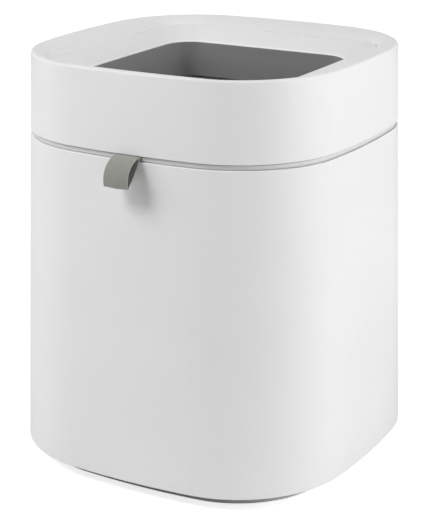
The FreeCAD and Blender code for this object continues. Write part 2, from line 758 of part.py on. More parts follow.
def mechanism_tray():
    """Floor between the refill well and the gather mechanism, with the well's wall and a skirt."""
    inset = wall + slip_gap
    tray = drum(floor_low, floor_high, inset)
    tray = tray.fuse(band(cover_high, floor_low, inset, inset + plate))
    well_corner = line_corner_radius + plate
    tray = tray.fuse(square_ring(well_half + plate, well_half, well_corner, floor_high, seat_high))
    for x, y in cover_screw_places:
        tray = tray.fuse(cylinder(boss_radius - slip_gap, (x, y, cover_high), (x, y, floor_low)))
        tray = tray.cut(cylinder(screw_radius, (x, y, cover_high - 1), (x, y, floor_low - cover_screw_cap)))
    for y in (-board_length / 2 + stand_off_inset, board_length / 2 - stand_off_inset):
        for x in (-screw_line - stand_off_shift, -screw_line + stand_off_shift):
            tray = tray.fuse(cylinder(stand_off_radius, (x, y, floor_high), (x, y, floor_high + board_height)))
    for x, y in tray_screw_places:
        tray = tray.cut(cylinder(screw_radius, (x, y, floor_low - 1), (x, y, floor_high + 1)))
    tray = tray.cut(square_prism(throat_half, mouth_corner_radius, floor_low - 1, floor_high + 1))
    return tray.cut(arm_notch(cover_high - 1)).removeSplitter()


def bottom_cover():
    """Underside of the head, with the throat, the latch slot and the posts that hold the guide rods."""
    cover = drum(cover_low, cover_high, wall + slip_gap)
    cover = cover.cut(square_prism(throat_half + 1, mouth_corner_radius, cover_low - 1, cover_high + 1))
    slot_front = latch_front - latch_travel - slip_gap * 2
    slot_back = hook_tip + slip_gap
    cover = cover.cut(centred_box(latch_slot_half, slot_front, slot_back, cover_low - 1, cover_high + 1))
    head_high = cover_low + screw_head_height
    for x, y in cover_screw_places:
        recess = cylinder(screw_head_radius + fit_gap, (x, y, cover_low - 1), (x, y, head_high))
        cover = cover.cut(recess).cut(cylinder(screw_radius, (x, y, cover_low), (x, y, cover_high + 1)))
    room = drum(cover_high, floor_low, rod_wall_inset + fit_gap)
    post_high = shaft_z + rod_radius + rod_collar
    for side in (-1, 1):
        x = side * rod_x
        for y in (-lug_back - slip_gap - rod_post, lug_back + slip_gap):
            post = box(x - rod_post_half, x + rod_post_half, y, y + rod_post, cover_high, post_high)
            cover = cover.fuse(post.common(room))
        cover = cover.cut(guide_rod(side))
    return cover.cut(hinge_relief()).removeSplitter()


def guide_rod(side):
    """Steel rod along which the gather bar slides."""
    end = lug_back + slip_gap + rod_post
    return cylinder(rod_radius, (side * rod_x, -end, shaft_z), (side * rod_x, end, shaft_z))


def rack(side):
    """Fixed toothed strip under one pinion, its teeth upwards."""
    pitch = math.pi * gear_module
    pitch_line = shaft_z - pitch_radius
    tip = pitch_line + 0.7 * gear_module
    root = pitch_line - 1.15 * gear_module
    slope = math.tan(math.radians(gear_pressure))
    half_tooth = pitch / 4 - gear_backlash
    end_low = shaft_y - gather_travel - tip_radius - 2
    end_high = shaft_y + tip_radius + 1
    first = int((end_low - shaft_y) / pitch)
    last = int((end_high - shaft_y) / pitch)
    points = [Vector(0, end_low, cover_high), Vector(0, end_low, root)]
    for tooth in range(first, last):
        middle = shaft_y + (tooth + 0.5) * pitch
        foot = half_tooth + (pitch_line - root) * slope
        head = half_tooth - (tip - pitch_line) * slope
        for shift, z in ((-foot, root), (-head, tip), (head, tip), (foot, root)):
            points.append(Vector(0, middle + shift, z))
    points.append(Vector(0, end_high, root))
    points.append(Vector(0, end_high, cover_high))
    points.append(points[0])
    strip = Part.Face(Part.makePolygon(points)).extrude(Vector(rack_width, 0, 0))
    strip.translate(Vector(side * (rack_inner + rack_width / 2) - rack_width / 2, 0, 0))
    return strip


def heater_bar():
    """Aluminium sealing bar at the front of the throat."""
    half = mouth_half - heater_end_gap
    return centred_box(half, seal_line - heater_thickness, seal_line, gather_low, gather_high)


def heater_block():
    """Heat-proof block that holds the sealing bar between tray and cover."""
    back = seal_line - heater_thickness
    half = mouth_half - heater_end_gap / 3
    return centred_box(half, back - heater_block_thickness, back, cover_high, floor_low)


def battery_pack():
    """Two round cells end to end in a sleeve, on the right-hand side of the tray."""
    half = battery_length / 2
    x_low = well_half + plate + slip_gap
    pack = box(x_low, x_low + battery_size, -half, half, floor_high, floor_high + battery_size)
    along = []
    for edge in pack.Edges:
        if abs(edge.Vertexes[0].Y - edge.Vertexes[1].Y) > half:
            along.append(edge)
    return pack.makeFillet(battery_round, along)


def control_board():
    """Circuit board with its parts, on four stand-offs on the left-hand side of the tray."""
    x = -screw_line
    top = floor_high + board_height + board_thickness
    board = board_block(board_width, -board_length / 2, board_length, top - board_thickness, board_thickness)
    board = board.fuse(board_block(chip_size, -chip_size, chip_size, top, chip_height))
    board = board.fuse(board_block(coil_width, coil_length, coil_length, top, coil_height))
    board = board.fuse(board_block(connector_length, 3 * coil_length, connector_size, top, connector_size))
    for place in (1, 2):
        y = -chip_size - place * capacitor_pitch
        board = board.fuse(cylinder(capacitor_radius, (x, y, top), (x, y, top + capacitor_height)))
    return board.removeSplitter()


def board_block(width, y_low, length, z_low, height):
    """Block centred across the circuit board."""
    return box(-screw_line - width / 2, -screw_line + width / 2, y_low, y_low + length, z_low, z_low + height)


def button_board():
    """Small upright board behind the button, standing on the tray."""
    y = button_board_y
    z = rear_fittings_height
    board = centred_box(button_board_half, y - board_thickness, y, floor_high, z + button_board_rise)
    return board.fuse(centred_box(switch_half, y, y + switch_depth, z - switch_half, z + switch_half))


def power_button():
    """Round push button in the rear wall, with a flange that keeps it in."""
    z = rear_fittings_height
    face = rear_wall_y(0, z) + button_proud
    reach = button_radius + button_flange
    inner = rear_wall_y(reach, z + reach, wall) - fit_gap
    low = inner - button_flange
    cap = cylinder(button_radius, (0, low, z), (0, face, z))
    cap = cap.makeFillet(button_edge, [edge for edge in cap.Edges if abs(edge.CenterOfMass.y - face) < 0.01])
    flange = cylinder(reach, (0, low, z), (0, inner, z))
    stem = cylinder(button_stem_radius, (0, button_back, z), (0, low, z))
    return cap.fuse(flange).fuse(stem).removeSplitter()


def charge_socket():
    """Round charging inlet with its centre pin, in the rear wall, on a foot that stands on the tray."""
    x = socket_offset
    z = rear_fittings_height
    face = rear_wall_y(x, z) - socket_recess
    radius = socket_bore + plate
    back = face - socket_depth
    body = cylinder(radius, (x, back - socket_back, z), (x, face, z))
    foot = box(x - radius, x + radius, back - socket_back, face - socket_back, floor_high, z)
    body = body.fuse(foot).cut(cylinder(socket_bore, (x, back, z), (x, face + 1, z)))
    pin = cylinder(socket_pin_radius, (x, back, z), (x, face - socket_pin_recess, z))
    return body.fuse(pin).removeSplitter()


def status_light():
    """Light pipe beside the button, standing on the tray."""
    z = rear_fittings_height
    y = button_board_y
    face = rear_wall_y(light_offset, z)
    pipe = cylinder(light_radius, (light_offset, y, z), (light_offset, face, z))
    half = light_radius + slip_gap
    foot = box(light_offset - half, light_offset + half, y - half, y + half, floor_high, z + half)
    return pipe.fuse(foot).removeSplitter()


def cover_screws():
    """Screws that hold the bottom cover to the tray."""
    length = zone_height - cover_screw_cap
    return Part.makeCompound([screw(x, y, cover_low, length) for x, y in cover_screw_places])


def tray_screws():
    """Screws that hold the tray to the head shell."""
    z_head = floor_low - screw_head_height
    return Part.makeCompound([screw(x, y, z_head, plate + tray_screw_grip) for x, y in tray_screw_places])


def park_switch():
    """Micro switch that the gather bar meets when it is parked."""
    y_low = lug_back + slip_gap + rod_post
    x_high = switch_offset - rack_inner
    return box(x_high - switch_width, x_high, y_low, y_low + switch_width, cover_high, gather_high)


# ================================================================ ring cover and chute
def ring_cover():
    """Inner ring of the dish, lifted off to change the refill; its skirt rests on the seat."""
    skirt_outer = line_half - line_gap
    corner = line_corner_radius - line_gap
    below = mouth_low - lip_height
    hollow = square_prism(skirt_outer - plate, corner - plate, below - 1, line_z - dish_wall)
    hollow = hollow.cut(above_ring(dish_wall)).cut(mouth_prism(lip_thickness, below - 2, line_z))
    cover = square_prism(skirt_outer, corner, below, line_z + 1).cut(above_ring(0)).cut(hollow)
    below_skirt = square_ring(skirt_outer + 1, skirt_outer - plate - 1, corner + 1, below - 2, seat_ledge)
    return cover.cut(below_skirt).cut(mouth_prism(0, below - 2, line_z)).removeSplitter()


def above_ring(lower):
    """Everything above the inner ring's surface, optionally lowered to make its underside."""
    levels = []
    for share in (past_edge, 1, (1 + line_share) / 2, line_share):
        levels.append(dish_outline(share, lower))
    levels.append(dish_outline(line_share, -plate))
    return stack(*levels)


def mouth_prism(grow, z_low, z_high):
    """Upright prism over the opening's outline, grown by an offset."""
    low = crowned_square(mouth_half + grow, mouth_crown_radius + grow, mouth_corner_radius + grow, z_low)
    return stack(low, low.translated(Vector(0, 0, z_high - z_low)))


def bag_chute():
    """Grey guide under the mouth that the bag is drawn through."""
    half = mouth_half + chute_set_out
    inner = half - chute_wall
    return tapered_chute(half, mouth_corner_radius).cut(tapered_chute(inner, mouth_corner_radius - chute_wall))


def tapered_chute(half, corner):
    """Block between the gather zone and the lip, a little narrower at the bottom."""
    low = gather_high + fit_gap * 3
    return stack(crowned_square(half - chute_taper, line_crown_radius, corner, low),
                 crowned_square(half, line_crown_radius, corner, mouth_low - lip_height))


# ================================================================ refill
def cassette_ring():
    """Channel-shaped refill ring that stands in the well round the chute."""
    high = cassette_low + cassette_height
    corner = line_corner_radius
    ring = square_ring(cassette_half, cassette_hole, corner, cassette_low, high)
    return ring.cut(square_ring(cassette_half - plate, cassette_hole + plate, corner - plate,
                                cassette_low + plate, high + 2))


def film_pack():
    """Pleated tube of bag film in the refill's channel."""
    low = cassette_low + plate
    return square_ring(cassette_half - plate - slip_gap, cassette_hole + plate + slip_gap,
                       line_corner_radius - plate - slip_gap, low, low + film_height)


# ================================================================ gather carriage
def gather_bar():
    """Cross bar that sweeps the bag to the front: blade, bearing lugs and the motor's cradle."""
    blade_back = gather_front + gather_blade
    bar = centred_box(lug_reach, gather_front, blade_back, gather_low, gather_high)
    inner_lug = rack_inner - slip_gap
    for side in (-1, 1):
        x = side * rod_x
        outer = sorted((side * (rack_outer + slip_gap), side * lug_reach))
        inner = sorted((side * inner_lug, side * (inner_lug - lug_width)))
        bar = bar.fuse(box(*outer, blade_back, lug_back, gather_low, gather_high))
        bar = bar.fuse(box(*inner, blade_back, shaft_y + lug_width - slip_gap, gather_low, gather_high))
        bar = bar.cut(cylinder(rod_radius + running_gap, (x, 0, shaft_z), (x, rim_half, shaft_z)))
    cradle_high = shaft_z - motor_height / 2
    cradle_low = cradle_high - cradle_plate
    cradle_end = motor_offset + motor_length
    cradle_back = motor_y + motor_depth / 2
    bar = bar.fuse(box(motor_offset, cradle_end, gather_front, cradle_back, cradle_low, cradle_high))
    bar = bar.fuse(box(motor_offset, cradle_end, gather_front, blade_back, cradle_low, gather_low))
    reach = inner_lug + 1
    bore = cylinder(shaft_radius + running_gap, (-reach, shaft_y, shaft_z), (reach, shaft_y, shaft_z))
    return bar.cut(bore).removeSplitter()


def seal_pad():
    """Silicone strip on the bar's front that presses the bag to the heater."""
    half = mouth_half - heater_end_gap + pad_thickness
    front = gather_front - pad_thickness
    return centred_box(half, front, gather_front, gather_low + slip_gap, gather_high - slip_gap)


def gather_motor():
    """Geared motor in the cradle."""
    half_y = motor_depth / 2
    low = shaft_z - motor_height / 2
    gearbox_end = motor_offset + motor_gearbox
    gearbox = box(motor_offset, gearbox_end, motor_y - half_y, motor_y + half_y, low, low + motor_height)
    can = cylinder(motor_height / 2, (gearbox_end, motor_y, shaft_z),
                   (motor_offset + motor_length, motor_y, shaft_z))
    return gearbox.fuse(can)


def toothed_wheel(bore_radius, x_low, y, first_tooth):
    """Spur gear on an axis along X, with involute flanks; first_tooth turns it about its axis."""
    pressure = math.radians(gear_pressure)
    base_radius = pitch_radius * math.cos(pressure)
    root_radius = pitch_radius - 1.2 * gear_module
    half_tooth = math.pi / (2 * gear_teeth) - gear_backlash / (2 * pitch_radius)
    offset = half_tooth + math.tan(pressure) - pressure
    flank = [(root_radius, offset)]
    for step in range(5):
        radius = base_radius + (tip_radius - base_radius) * step / 4
        roll = math.acos(base_radius / radius)
        flank.append((radius, offset - (math.tan(roll) - roll)))
    tooth_outline = [(radius, -angle) for radius, angle in flank]
    tooth_outline += [(radius, angle) for radius, angle in reversed(flank)]
    points = []
    for tooth in range(gear_teeth):
        middle = first_tooth + tooth * 2 * math.pi / gear_teeth
        for radius, angle in tooth_outline:
            points.append(Vector(0, radius * math.cos(middle + angle), radius * math.sin(middle + angle)))
    points.append(points[0])
    wheel = Part.Face(Part.makePolygon(points)).extrude(Vector(gear_width, 0, 0))
    wheel.translate(Vector(x_low, y, shaft_z))
    return wheel.cut(cylinder(bore_radius, (x_low - 1, y, shaft_z), (x_low + gear_width + 1, y, shaft_z)))


def drive_shaft():
    """Cross shaft that turns both pinions."""
    half = rack_outer - (rack_width - gear_width) / 2
    return cylinder(shaft_radius, (-half, shaft_y, shaft_z), (half, shaft_y, shaft_z))


def pinion(side):
    """Gear on the end of the cross shaft that rolls along a rack."""
    middle = side * (rack_inner + rack_width / 2)
    return toothed_wheel(shaft_radius, middle - gear_width / 2, shaft_y, math.pi / 2)


def shaft_gear():
    """Gear on the cross shaft that the motor drives."""
    return toothed_wheel(shaft_radius, gear_x, shaft_y, 0.0)


def motor_pinion():
    """Gear and output shaft of the gather motor."""
    wheel = toothed_wheel(motor_shaft_radius, gear_x, motor_y, math.pi + tooth_angle)
    return wheel.fuse(cylinder(motor_shaft_radius, (gear_x, motor_y, shaft_z),
                               (motor_offset - fit_gap, motor_y, shaft_z)))


# ================================================================ latch and pull tab
def latch_slide():
    """Sliding plate in the head with a leg and hook that catch under the striker."""
    half = latch_width / 2
    slide = centred_box(half + latch_plate_side, latch_front, latch_front + latch_length,
                        latch_low, latch_low + latch_thickness)
    hook_high = flange_low - striker_thickness - fit_gap
    hook_low = hook_high - latch_hook_height
    slide = slide.fuse(centred_box(half, latch_front, latch_leg_back, hook_low, latch_low))
    slide = slide.fuse(centred_box(half, latch_leg_back, hook_tip, hook_low, hook_high))
    return slide.removeSplitter()


def latch_striker():
    """Steel plate under the collar's flange that the hook catches."""
    return centred_box(latch_slot_half + striker_side, striker_edge, -liner_half - fit_gap,
                       flange_low - striker_thickness, flange_low)


def latch_spring():
    """Two coil springs that push the latch back, between the latch and the heater block."""
    section = []
    for corner in range(spring_wire_sides + 1):
        turn = (corner + 0.5) * 2 * math.pi / spring_wire_sides
        x = spring_radius + spring_wire_radius * math.cos(turn)
        section.append(Vector(x, 0, spring_wire_radius * math.sin(turn)))
    wire = Part.makePolygon(section)
    back = seal_line - heater_thickness - heater_block_thickness - spring_end_gap
    front = latch_front + latch_length + spring_end_gap
    spring_z = latch_low + latch_thickness / 2 + spring_lift
    coils = []
    for side in (-1, 1):
        coil = Part.Wire(Part.makeHelix(spring_pitch, back - front, spring_radius))
        body = coil.makePipeShell([wire], True, True)
        body.rotate(Vector(0, 0, 0), Vector(1, 0, 0), -90)
        body.translate(Vector(side * latch_width / 2, front, spring_z))
        coils.append(body)
    return Part.makeCompound(coils)


def pull_tab():
    """Folded fabric loop clamped to the latch's leg, hanging out of the reveal gap."""
    exit_y = -(rim_half + wall_growth(head_low)) - tab_exit_gap
    fold_y = exit_y - tab_reach
    fold_z = tab_high - tab_drop + tab_thickness
    front = tab_curve((exit_y, tab_high), (exit_y - tab_reach * 0.45 - tab_bulge, tab_high),
                      (fold_y - tab_bulge * 0.75, tab_high - tab_drop * 0.45), (fold_y, fold_z))
    back = tab_curve((exit_y, tab_low), (exit_y - tab_reach * 0.22, tab_low - tab_drop * 0.16),
                     (exit_y - tab_reach * 0.62, tab_high - tab_drop * 0.55),
                     (fold_y + 2 * tab_thickness, fold_z))
    loop = fabric_layer(front, -1).fuse(fabric_layer(back, 1))
    fold_middle = fold_y + tab_thickness
    fold = cylinder(tab_thickness, (-tab_width / 2, fold_middle, fold_z), (tab_width / 2, fold_middle, fold_z))
    stem = centred_box(tab_width / 2, exit_y - tab_thickness, latch_front, tab_low, tab_high)
    return loop.fuse(fold).fuse(stem).removeSplitter()


def tab_curve(*poles):
    """Smooth curve in the middle plane through four (Y, Z) poles."""
    curve = Part.BezierCurve()
    curve.setPoles([Vector(0, y, z) for y, z in poles])
    return curve


def fabric_layer(curve, side):
    """One layer of the tab: a curve in the YZ plane, thickened to one side and extruded across the width."""
    samples = 12
    inner_points = []
    for step in range(samples + 1):
        place = curve.LastParameter * step / samples
        point = curve.value(place)
        way = curve.tangent(place)[0]
        inner_points.append(point + Vector(0, way.z, -way.y) * (side * tab_thickness))
    inner = Part.BSplineCurve()
    inner.interpolate(inner_points)
    inner_edge = inner.toShape()
    first = Part.makeLine(curve.value(0), inner_points[0])
    last = Part.makeLine(curve.value(curve.LastParameter), inner_points[-1])
    outline = Part.Wire(Part.__sortEdges__([curve.toShape(), last, inner_edge, first]))
    layer = Part.Face(outline).extrude(Vector(tab_width, 0, 0))
    layer.translate(Vector(-tab_width / 2, 0, 0))
    return layer


def tab_clamp():
    """Small plate that clamps the tab to the latch."""
    return centred_box(latch_width / 2 - 1, latch_front - clamp_thickness, latch_front,
                       tab_low - clamp_height, tab_low)


# ================================================================ export
def nodes():
    """Every piece, by name."""
    made = {
        "body_shell": body_shell(),
        "rear_grille": rear_grille(),
        "body_collar": body_collar(),
        "lid_gasket": lid_gasket(),
        "inner_liner": inner_liner(),
        "base_plate": base_plate(),
        "foot_ring": foot_ring(),
        "base_screws": base_screws(),
        "fan_frame": fan_frame(),
        "fan_motor": fan_motor(),
        "fan_rotor": fan_rotor(),
        "fan_duct": fan_duct(),
        "latch_striker": latch_striker(),
        "head_shell": head_shell(),
        "mechanism_tray": mechanism_tray(),
        "bottom_cover": bottom_cover(),
        "heater_bar": heater_bar(),
        "heater_block": heater_block(),
        "battery_pack": battery_pack(),
        "control_board": control_board(),
        "button_board": button_board(),
        "charge_socket": charge_socket(),
        "status_light": status_light(),
        "cover_screws": cover_screws(),
        "tray_screws": tray_screws(),
        "park_switch": park_switch(),
        "latch_spring": latch_spring(),
        "power_button": power_button(),
        "ring_cover": ring_cover(),
        "bag_chute": bag_chute(),
        "cassette_ring": cassette_ring(),
        "film_pack": film_pack(),
        "gather_bar": gather_bar(),
        "seal_pad": seal_pad(),
        "gather_motor": gather_motor(),
        "drive_shaft": drive_shaft(),
        "shaft_gear": shaft_gear(),
        "motor_pinion": motor_pinion(),
        "latch_slide": latch_slide(),
        "pull_tab": pull_tab(),
        "tab_clamp": tab_clamp(),
    }
    for name, side in (("left", -1), ("right", 1)):
        made["hinge_bracket_" + name] = hinge_bracket(side)
        made["hinge_arm_" + name] = hinge_arm(side)
        made["hinge_pin_" + name] = hinge_pin(side)
        made["rack_" + name] = rack(side)
        made["guide_rod_" + name] = guide_rod(side)
        made["pinion_" + name] = pinion(side)
    return made


os.makedirs("parts", exist_ok=True)
for node, shape in nodes().items():
    shape.exportStep(os.path.join("parts", node + ".step"))
    print(node, len(shape.Solids), round(shape.Volume), shape.isValid())
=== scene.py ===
"""Self-sealing waste bin: finishes, soft parts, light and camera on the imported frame.

Metres. +Z is up, -Y is the front with the pull tab, +X is the right-hand side.
"""
import json
import math

import bpy
import numpy as np
from mathutils import Matrix, Vector


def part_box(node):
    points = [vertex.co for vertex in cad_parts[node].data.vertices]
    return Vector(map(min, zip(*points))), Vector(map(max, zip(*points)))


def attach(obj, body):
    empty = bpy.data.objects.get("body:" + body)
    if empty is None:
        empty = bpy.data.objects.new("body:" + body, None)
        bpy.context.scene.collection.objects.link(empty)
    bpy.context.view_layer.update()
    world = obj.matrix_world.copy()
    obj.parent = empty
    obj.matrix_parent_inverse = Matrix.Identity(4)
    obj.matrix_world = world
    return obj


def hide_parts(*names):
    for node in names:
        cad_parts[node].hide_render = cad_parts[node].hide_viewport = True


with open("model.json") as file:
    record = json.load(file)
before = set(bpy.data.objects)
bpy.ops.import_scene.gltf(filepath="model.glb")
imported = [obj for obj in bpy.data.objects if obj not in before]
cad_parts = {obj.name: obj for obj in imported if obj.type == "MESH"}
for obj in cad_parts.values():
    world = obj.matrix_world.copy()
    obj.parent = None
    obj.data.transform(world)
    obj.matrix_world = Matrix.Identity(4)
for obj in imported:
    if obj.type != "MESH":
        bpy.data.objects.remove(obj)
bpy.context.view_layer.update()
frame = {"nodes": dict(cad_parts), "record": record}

MM = 0.001

# ================================================================ sizes, in metres
total_height = 346.0 * MM
head_height = 63.7 * MM
rim_half = 136.0 * MM               # half of the rim's width
wall = 2.6 * MM
wall_draft = math.radians(2.0)
side_crown = 571.0 * MM             # radius of a side
side_corner = 87.0 * MM             # radius of a corner

dish_depth = 16.6 * MM
dish_width = 48.3 * MM
dish_wall = 2.4 * MM
dish_slope = 0.12
dish_curve = 2.1
line_share = 26.8 / 48.3            # how far across the dish its parting line lies
line_crown = 9.0                    # nearly straight sides
line_corner = 26.0 * MM
skirt_wall = 2.0 * MM

mouth_half = 85.1 * MM
mouth_crown = 5.5
mouth_corner = 24.0 * MM
lip_thickness = 1.6 * MM
lip_height = 3.0 * MM

tab_thickness = 0.9 * MM
tab_drop = 22.0 * MM
tab_reach = 18.0 * MM
tab_bulge = 3.0 * MM
tab_exit_gap = 0.2 * MM
fold_round = 1.4 * MM

side_steps = 48                     # points along one side of an outline
corner_steps = 40                   # points round one corner
pleat_seed = 7


# ================================================================ outlines
def crowned_square(half, crown, corner):
    """Rows of points round rounded squares with crowned sides, one row for each half width.

    On the right-hand side the outline is an arc of radius crown that passes (half, 0). A corner is an arc
    of radius corner about (c, c), where c = (s + sqrt(2 d d - s s)) / 2, s = half - crown and
    d = crown - corner, which makes the two arcs tangent. The other three quarters are the first one turned
    about the Z axis.
    """
    rows = np.broadcast_arrays(half, crown, corner)
    half, crown, corner = (np.atleast_1d(value)[:, None] for value in rows)
    side_centre = half - crown
    span = crown - corner
    centre = (side_centre + np.sqrt(2 * span ** 2 - side_centre ** 2)) / 2
    meet = np.arctan2(centre, centre - side_centre)
    side_turn = meet * np.linspace(-1, 1, side_steps, endpoint=False)[None, :]
    corner_turn = meet + (np.pi / 2 - 2 * meet) * np.linspace(0, 1, corner_steps, endpoint=False)[None, :]
    x = np.hstack([side_centre + crown * np.cos(side_turn), centre + corner * np.cos(corner_turn)])
    y = np.hstack([crown * np.sin(side_turn), centre + corner * np.sin(corner_turn)])
    return np.hstack([x, -y, -x, y]), np.hstack([y, x, -y, -x])


def dish_drop(share):
    """Depth below the rim: a straight slope from the rim's edge (0) plus a power of the share that reaches
    the full depth at the opening (1)."""
    linear = dish_slope * dish_width
    return linear * share + (dish_depth - linear) * share ** dish_curve


def dish_share(half):
    """Place across the dish of a half width: 0 at the rim's inner edge, 1 at the opening."""
    return (half - rim_half + wall) / (mouth_half - rim_half + wall)


def dish_ring(share):
    """Half width, crown, corner and height of the dish between the parting line and the opening.

    The half width falls evenly, the corner and the crown's curvature change evenly, and the height is the
    rim's less the drop.
    """
    half = rim_half - wall + (mouth_half - rim_half + wall) * share
    part = (share - line_share) / (1 - line_share)
    corner = line_corner + (mouth_corner - line_corner) * part
    bend = 1 / line_crown + (1 / mouth_crown - 1 / line_crown) * part
    return half, 1 / bend, corner, total_height - dish_drop(share)


# ================================================================ shading nodes
class Wiring:
    """Adds nodes to a tree. Inputs are given by name or number, as values or as other nodes' outputs."""

    def __init__(self, tree):
        self.tree = tree

    def add(self, kind, inputs=(), **settings):
        """Adds a node with its settings and inputs, and returns it."""
        node = self.tree.nodes.new("ShaderNode" + kind)
        for setting, value in settings.items():
            setattr(node, setting, value)
        for place, value in dict(inputs).items():
            if isinstance(value, bpy.types.NodeSocket):
                self.tree.links.new(value, node.inputs[place])
            else:
                node.inputs[place].default_value = value
        return node

    def feed(self, node, place, value):
        """Joins an output to one of a node's inputs."""
        self.tree.links.new(value, node.inputs[place])

    def calc(self, operation, first, second=0.0):
        """Result of a sum or another operation on two numbers."""
        return self.add("Math", {0: first, 1: second}, operation=operation).outputs[0]

    def spread(self, value, low, high, new_low=0.0, new_high=1.0):
        """Value carried from one range to another, held at its ends."""
        places = {"Value": value, "From Min": low, "From Max": high, "To Min": new_low, "To Max": new_high}
        return self.add("MapRange", places).outputs["Result"]

    def blend(self, share, first, second):
        """Colour between two colours."""
        return self.add("Mix", {0: share, 6: first, 7: second}, data_type="RGBA").outputs[2]

    def stretch(self, vector, scale):
        """Vector multiplied by a number."""
        return self.add("VectorMath", {0: vector, "Scale": scale}, operation="SCALE").outputs[0]

    def noise(self, vector, scale=1.0, detail=3.0, roughness=0.5):
        """Cloudy noise with a mean of one half."""
        places = {"Vector": vector, "Scale": scale, "Detail": detail, "Roughness": roughness}
        return self.add("TexNoise", places).outputs[0]


def effect(name, inputs, outputs):
    """Empty node group with named inputs (name, kind, default) and outputs (name, kind)."""
    tree = bpy.data.node_groups.new(name, "ShaderNodeTree")
    for label, kind, default in inputs:
        entry = tree.interface.new_socket(name=label, in_out="INPUT", socket_type="NodeSocket" + kind)
        if default is not None:
            entry.default_value = default
    for label, kind in outputs:
        tree.interface.new_socket(name=label, in_out="OUTPUT", socket_type="NodeSocket" + kind)
    wires = Wiring(tree)
    return tree, wires, tree.nodes.new("NodeGroupInput").outputs, tree.nodes.new("NodeGroupOutput")


def make_tone_drift():
    """Colour that drifts lighter and darker in soft patches, with a trace of a warmer cast between them."""
    tree, wires, given, result = effect(
        "tone_drift",
        [("Vector", "Vector", None), ("Colour", "Color", None), ("Patch", "Float", 0.05),
         ("Drift", "Float", 0.03)],
        [("Colour", "Color"), ("Shift", "Float")])
    place = wires.stretch(given["Vector"], wires.calc("DIVIDE", 1.0, given["Patch"]))
    shift = wires.spread(wires.noise(place, detail=4.0), 0.3, 0.7)
    cast = wires.spread(wires.noise(place, scale=2.7, detail=2.0), 0.35, 0.75)
    level = wires.calc("ADD", 1.0, wires.calc("MULTIPLY", given["Drift"], wires.calc("SUBTRACT", shift, 0.5)))
    shaded = wires.stretch(given["Colour"], level)
    warm = wires.add("VectorMath", {0: shaded, 1: (1.0, 0.985, 0.955)}, operation="MULTIPLY").outputs[0]
    share = wires.calc("MULTIPLY", cast, wires.calc("MULTIPLY", given["Drift"], 4.0))
    wires.feed(result, "Colour", wires.blend(share, shaded, warm))
    wires.feed(result, "Shift", shift)
    return tree


def make_mould_grain():
    """Fine spark-eroded texture of a mould over the slow ripple of shrinking plastic."""
    tree, wires, given, result = effect(
        "mould_grain",
        [("Vector", "Vector", None), ("Grain", "Float", 0.0006), ("Ripple", "Float", 0.25)],
        [("Height", "Float")])
    place = wires.stretch(given["Vector"], wires.calc("DIVIDE", 1.0, given["Grain"]))
    grain = wires.noise(place, detail=2.0, roughness=0.6)
    cells = wires.add("TexVoronoi", {"Vector": place, "Scale": 0.7}, feature="SMOOTH_F1").outputs["Distance"]
    pits = wires.spread(cells, 0.15, 0.6)
    ripple = wires.noise(place, scale=0.045, detail=1.0)
    fine = wires.calc("MULTIPLY", wires.calc("ADD", grain, pits), 0.5)
    swell = wires.calc("MULTIPLY", ripple, wires.calc("MULTIPLY", given["Ripple"], 8.0))
    wires.feed(result, "Height", wires.calc("ADD", fine, swell))
    return tree


def make_dust_film():
    """Thin dust on upward faces, thicker in drifting patches."""
    tree, wires, given, result = effect(
        "dust_film",
        [("Vector", "Vector", None), ("Colour", "Color", None), ("Dust", "Color", (0.5, 0.48, 0.45, 1.0)),
         ("Amount", "Float", 0.1)],
        [("Colour", "Color"), ("Cover", "Float")])
    facing = wires.add("SeparateXYZ", {0: wires.add("NewGeometry").outputs["Normal"]}).outputs["Z"]
    upward = wires.spread(facing, 0.1, 1.0)
    patches = wires.spread(wires.noise(given["Vector"], scale=45.0, detail=5.0, roughness=0.65), 0.35, 0.75)
    specks = wires.spread(wires.noise(given["Vector"], scale=900.0, detail=1.0), 0.66, 0.74)
    lying = wires.calc("MULTIPLY", upward, wires.calc("ADD", patches, wires.calc("MULTIPLY", specks, 0.6)))
    cover = wires.calc("MULTIPLY", lying, given["Amount"])
    wires.feed(result, "Colour", wires.blend(cover, given["Colour"], given["Dust"]))
    wires.feed(result, "Cover", cover)
    return tree


def make_fine_scuffs():
    """Sparse hairline rubs that run along two slanted directions."""
    tree, wires, given, result = effect(
        "fine_scuffs",
        [("Vector", "Vector", None), ("Length", "Float", 0.02), ("Cover", "Float", 0.3)],
        [("Mask", "Float")])
    place = wires.stretch(given["Vector"], wires.calc("DIVIDE", 1.0, given["Length"]))
    threshold = wires.calc("SUBTRACT", 0.72, wires.calc("MULTIPLY", given["Cover"], 0.12))
    rubs = []
    for turn, squeeze in (((0.5, 0.9, 0.2), (1.0, 22.0, 14.0)), ((1.2, 0.3, 2.1), (18.0, 1.2, 26.0))):
        places = {"Vector": place, "Rotation": turn, "Scale": squeeze}
        turned = wires.add("Mapping", places).outputs[0]
        line = wires.noise(turned, detail=2.0, roughness=0.7)
        rubs.append(wires.spread(line, threshold, wires.calc("ADD", threshold, 0.05)))
    wires.feed(result, "Mask", wires.calc("MAXIMUM", *rubs))
    return tree


def make_brushed_lines():
    """Fine parallel lines of a brushed or drawn metal, long in X."""
    tree, wires, given, result = effect(
        "brushed_lines",
        [("Vector", "Vector", None), ("Line", "Float", 0.0002), ("Run", "Float", 0.02)],
        [("Height", "Float"), ("Shade", "Float")])
    across = wires.calc("DIVIDE", 1.0, given["Line"])
    along = wires.calc("DIVIDE", 1.0, given["Run"])
    squeeze = wires.add("CombineXYZ", {0: along, 1: across, 2: across}).outputs[0]
    place = wires.add("VectorMath", {0: given["Vector"], 1: squeeze}, operation="MULTIPLY").outputs[0]
    lines = wires.noise(place, detail=3.0, roughness=0.7)
    wires.feed(result, "Height", lines)
    wires.feed(result, "Shade", wires.spread(lines, 0.3, 0.7))
    return tree


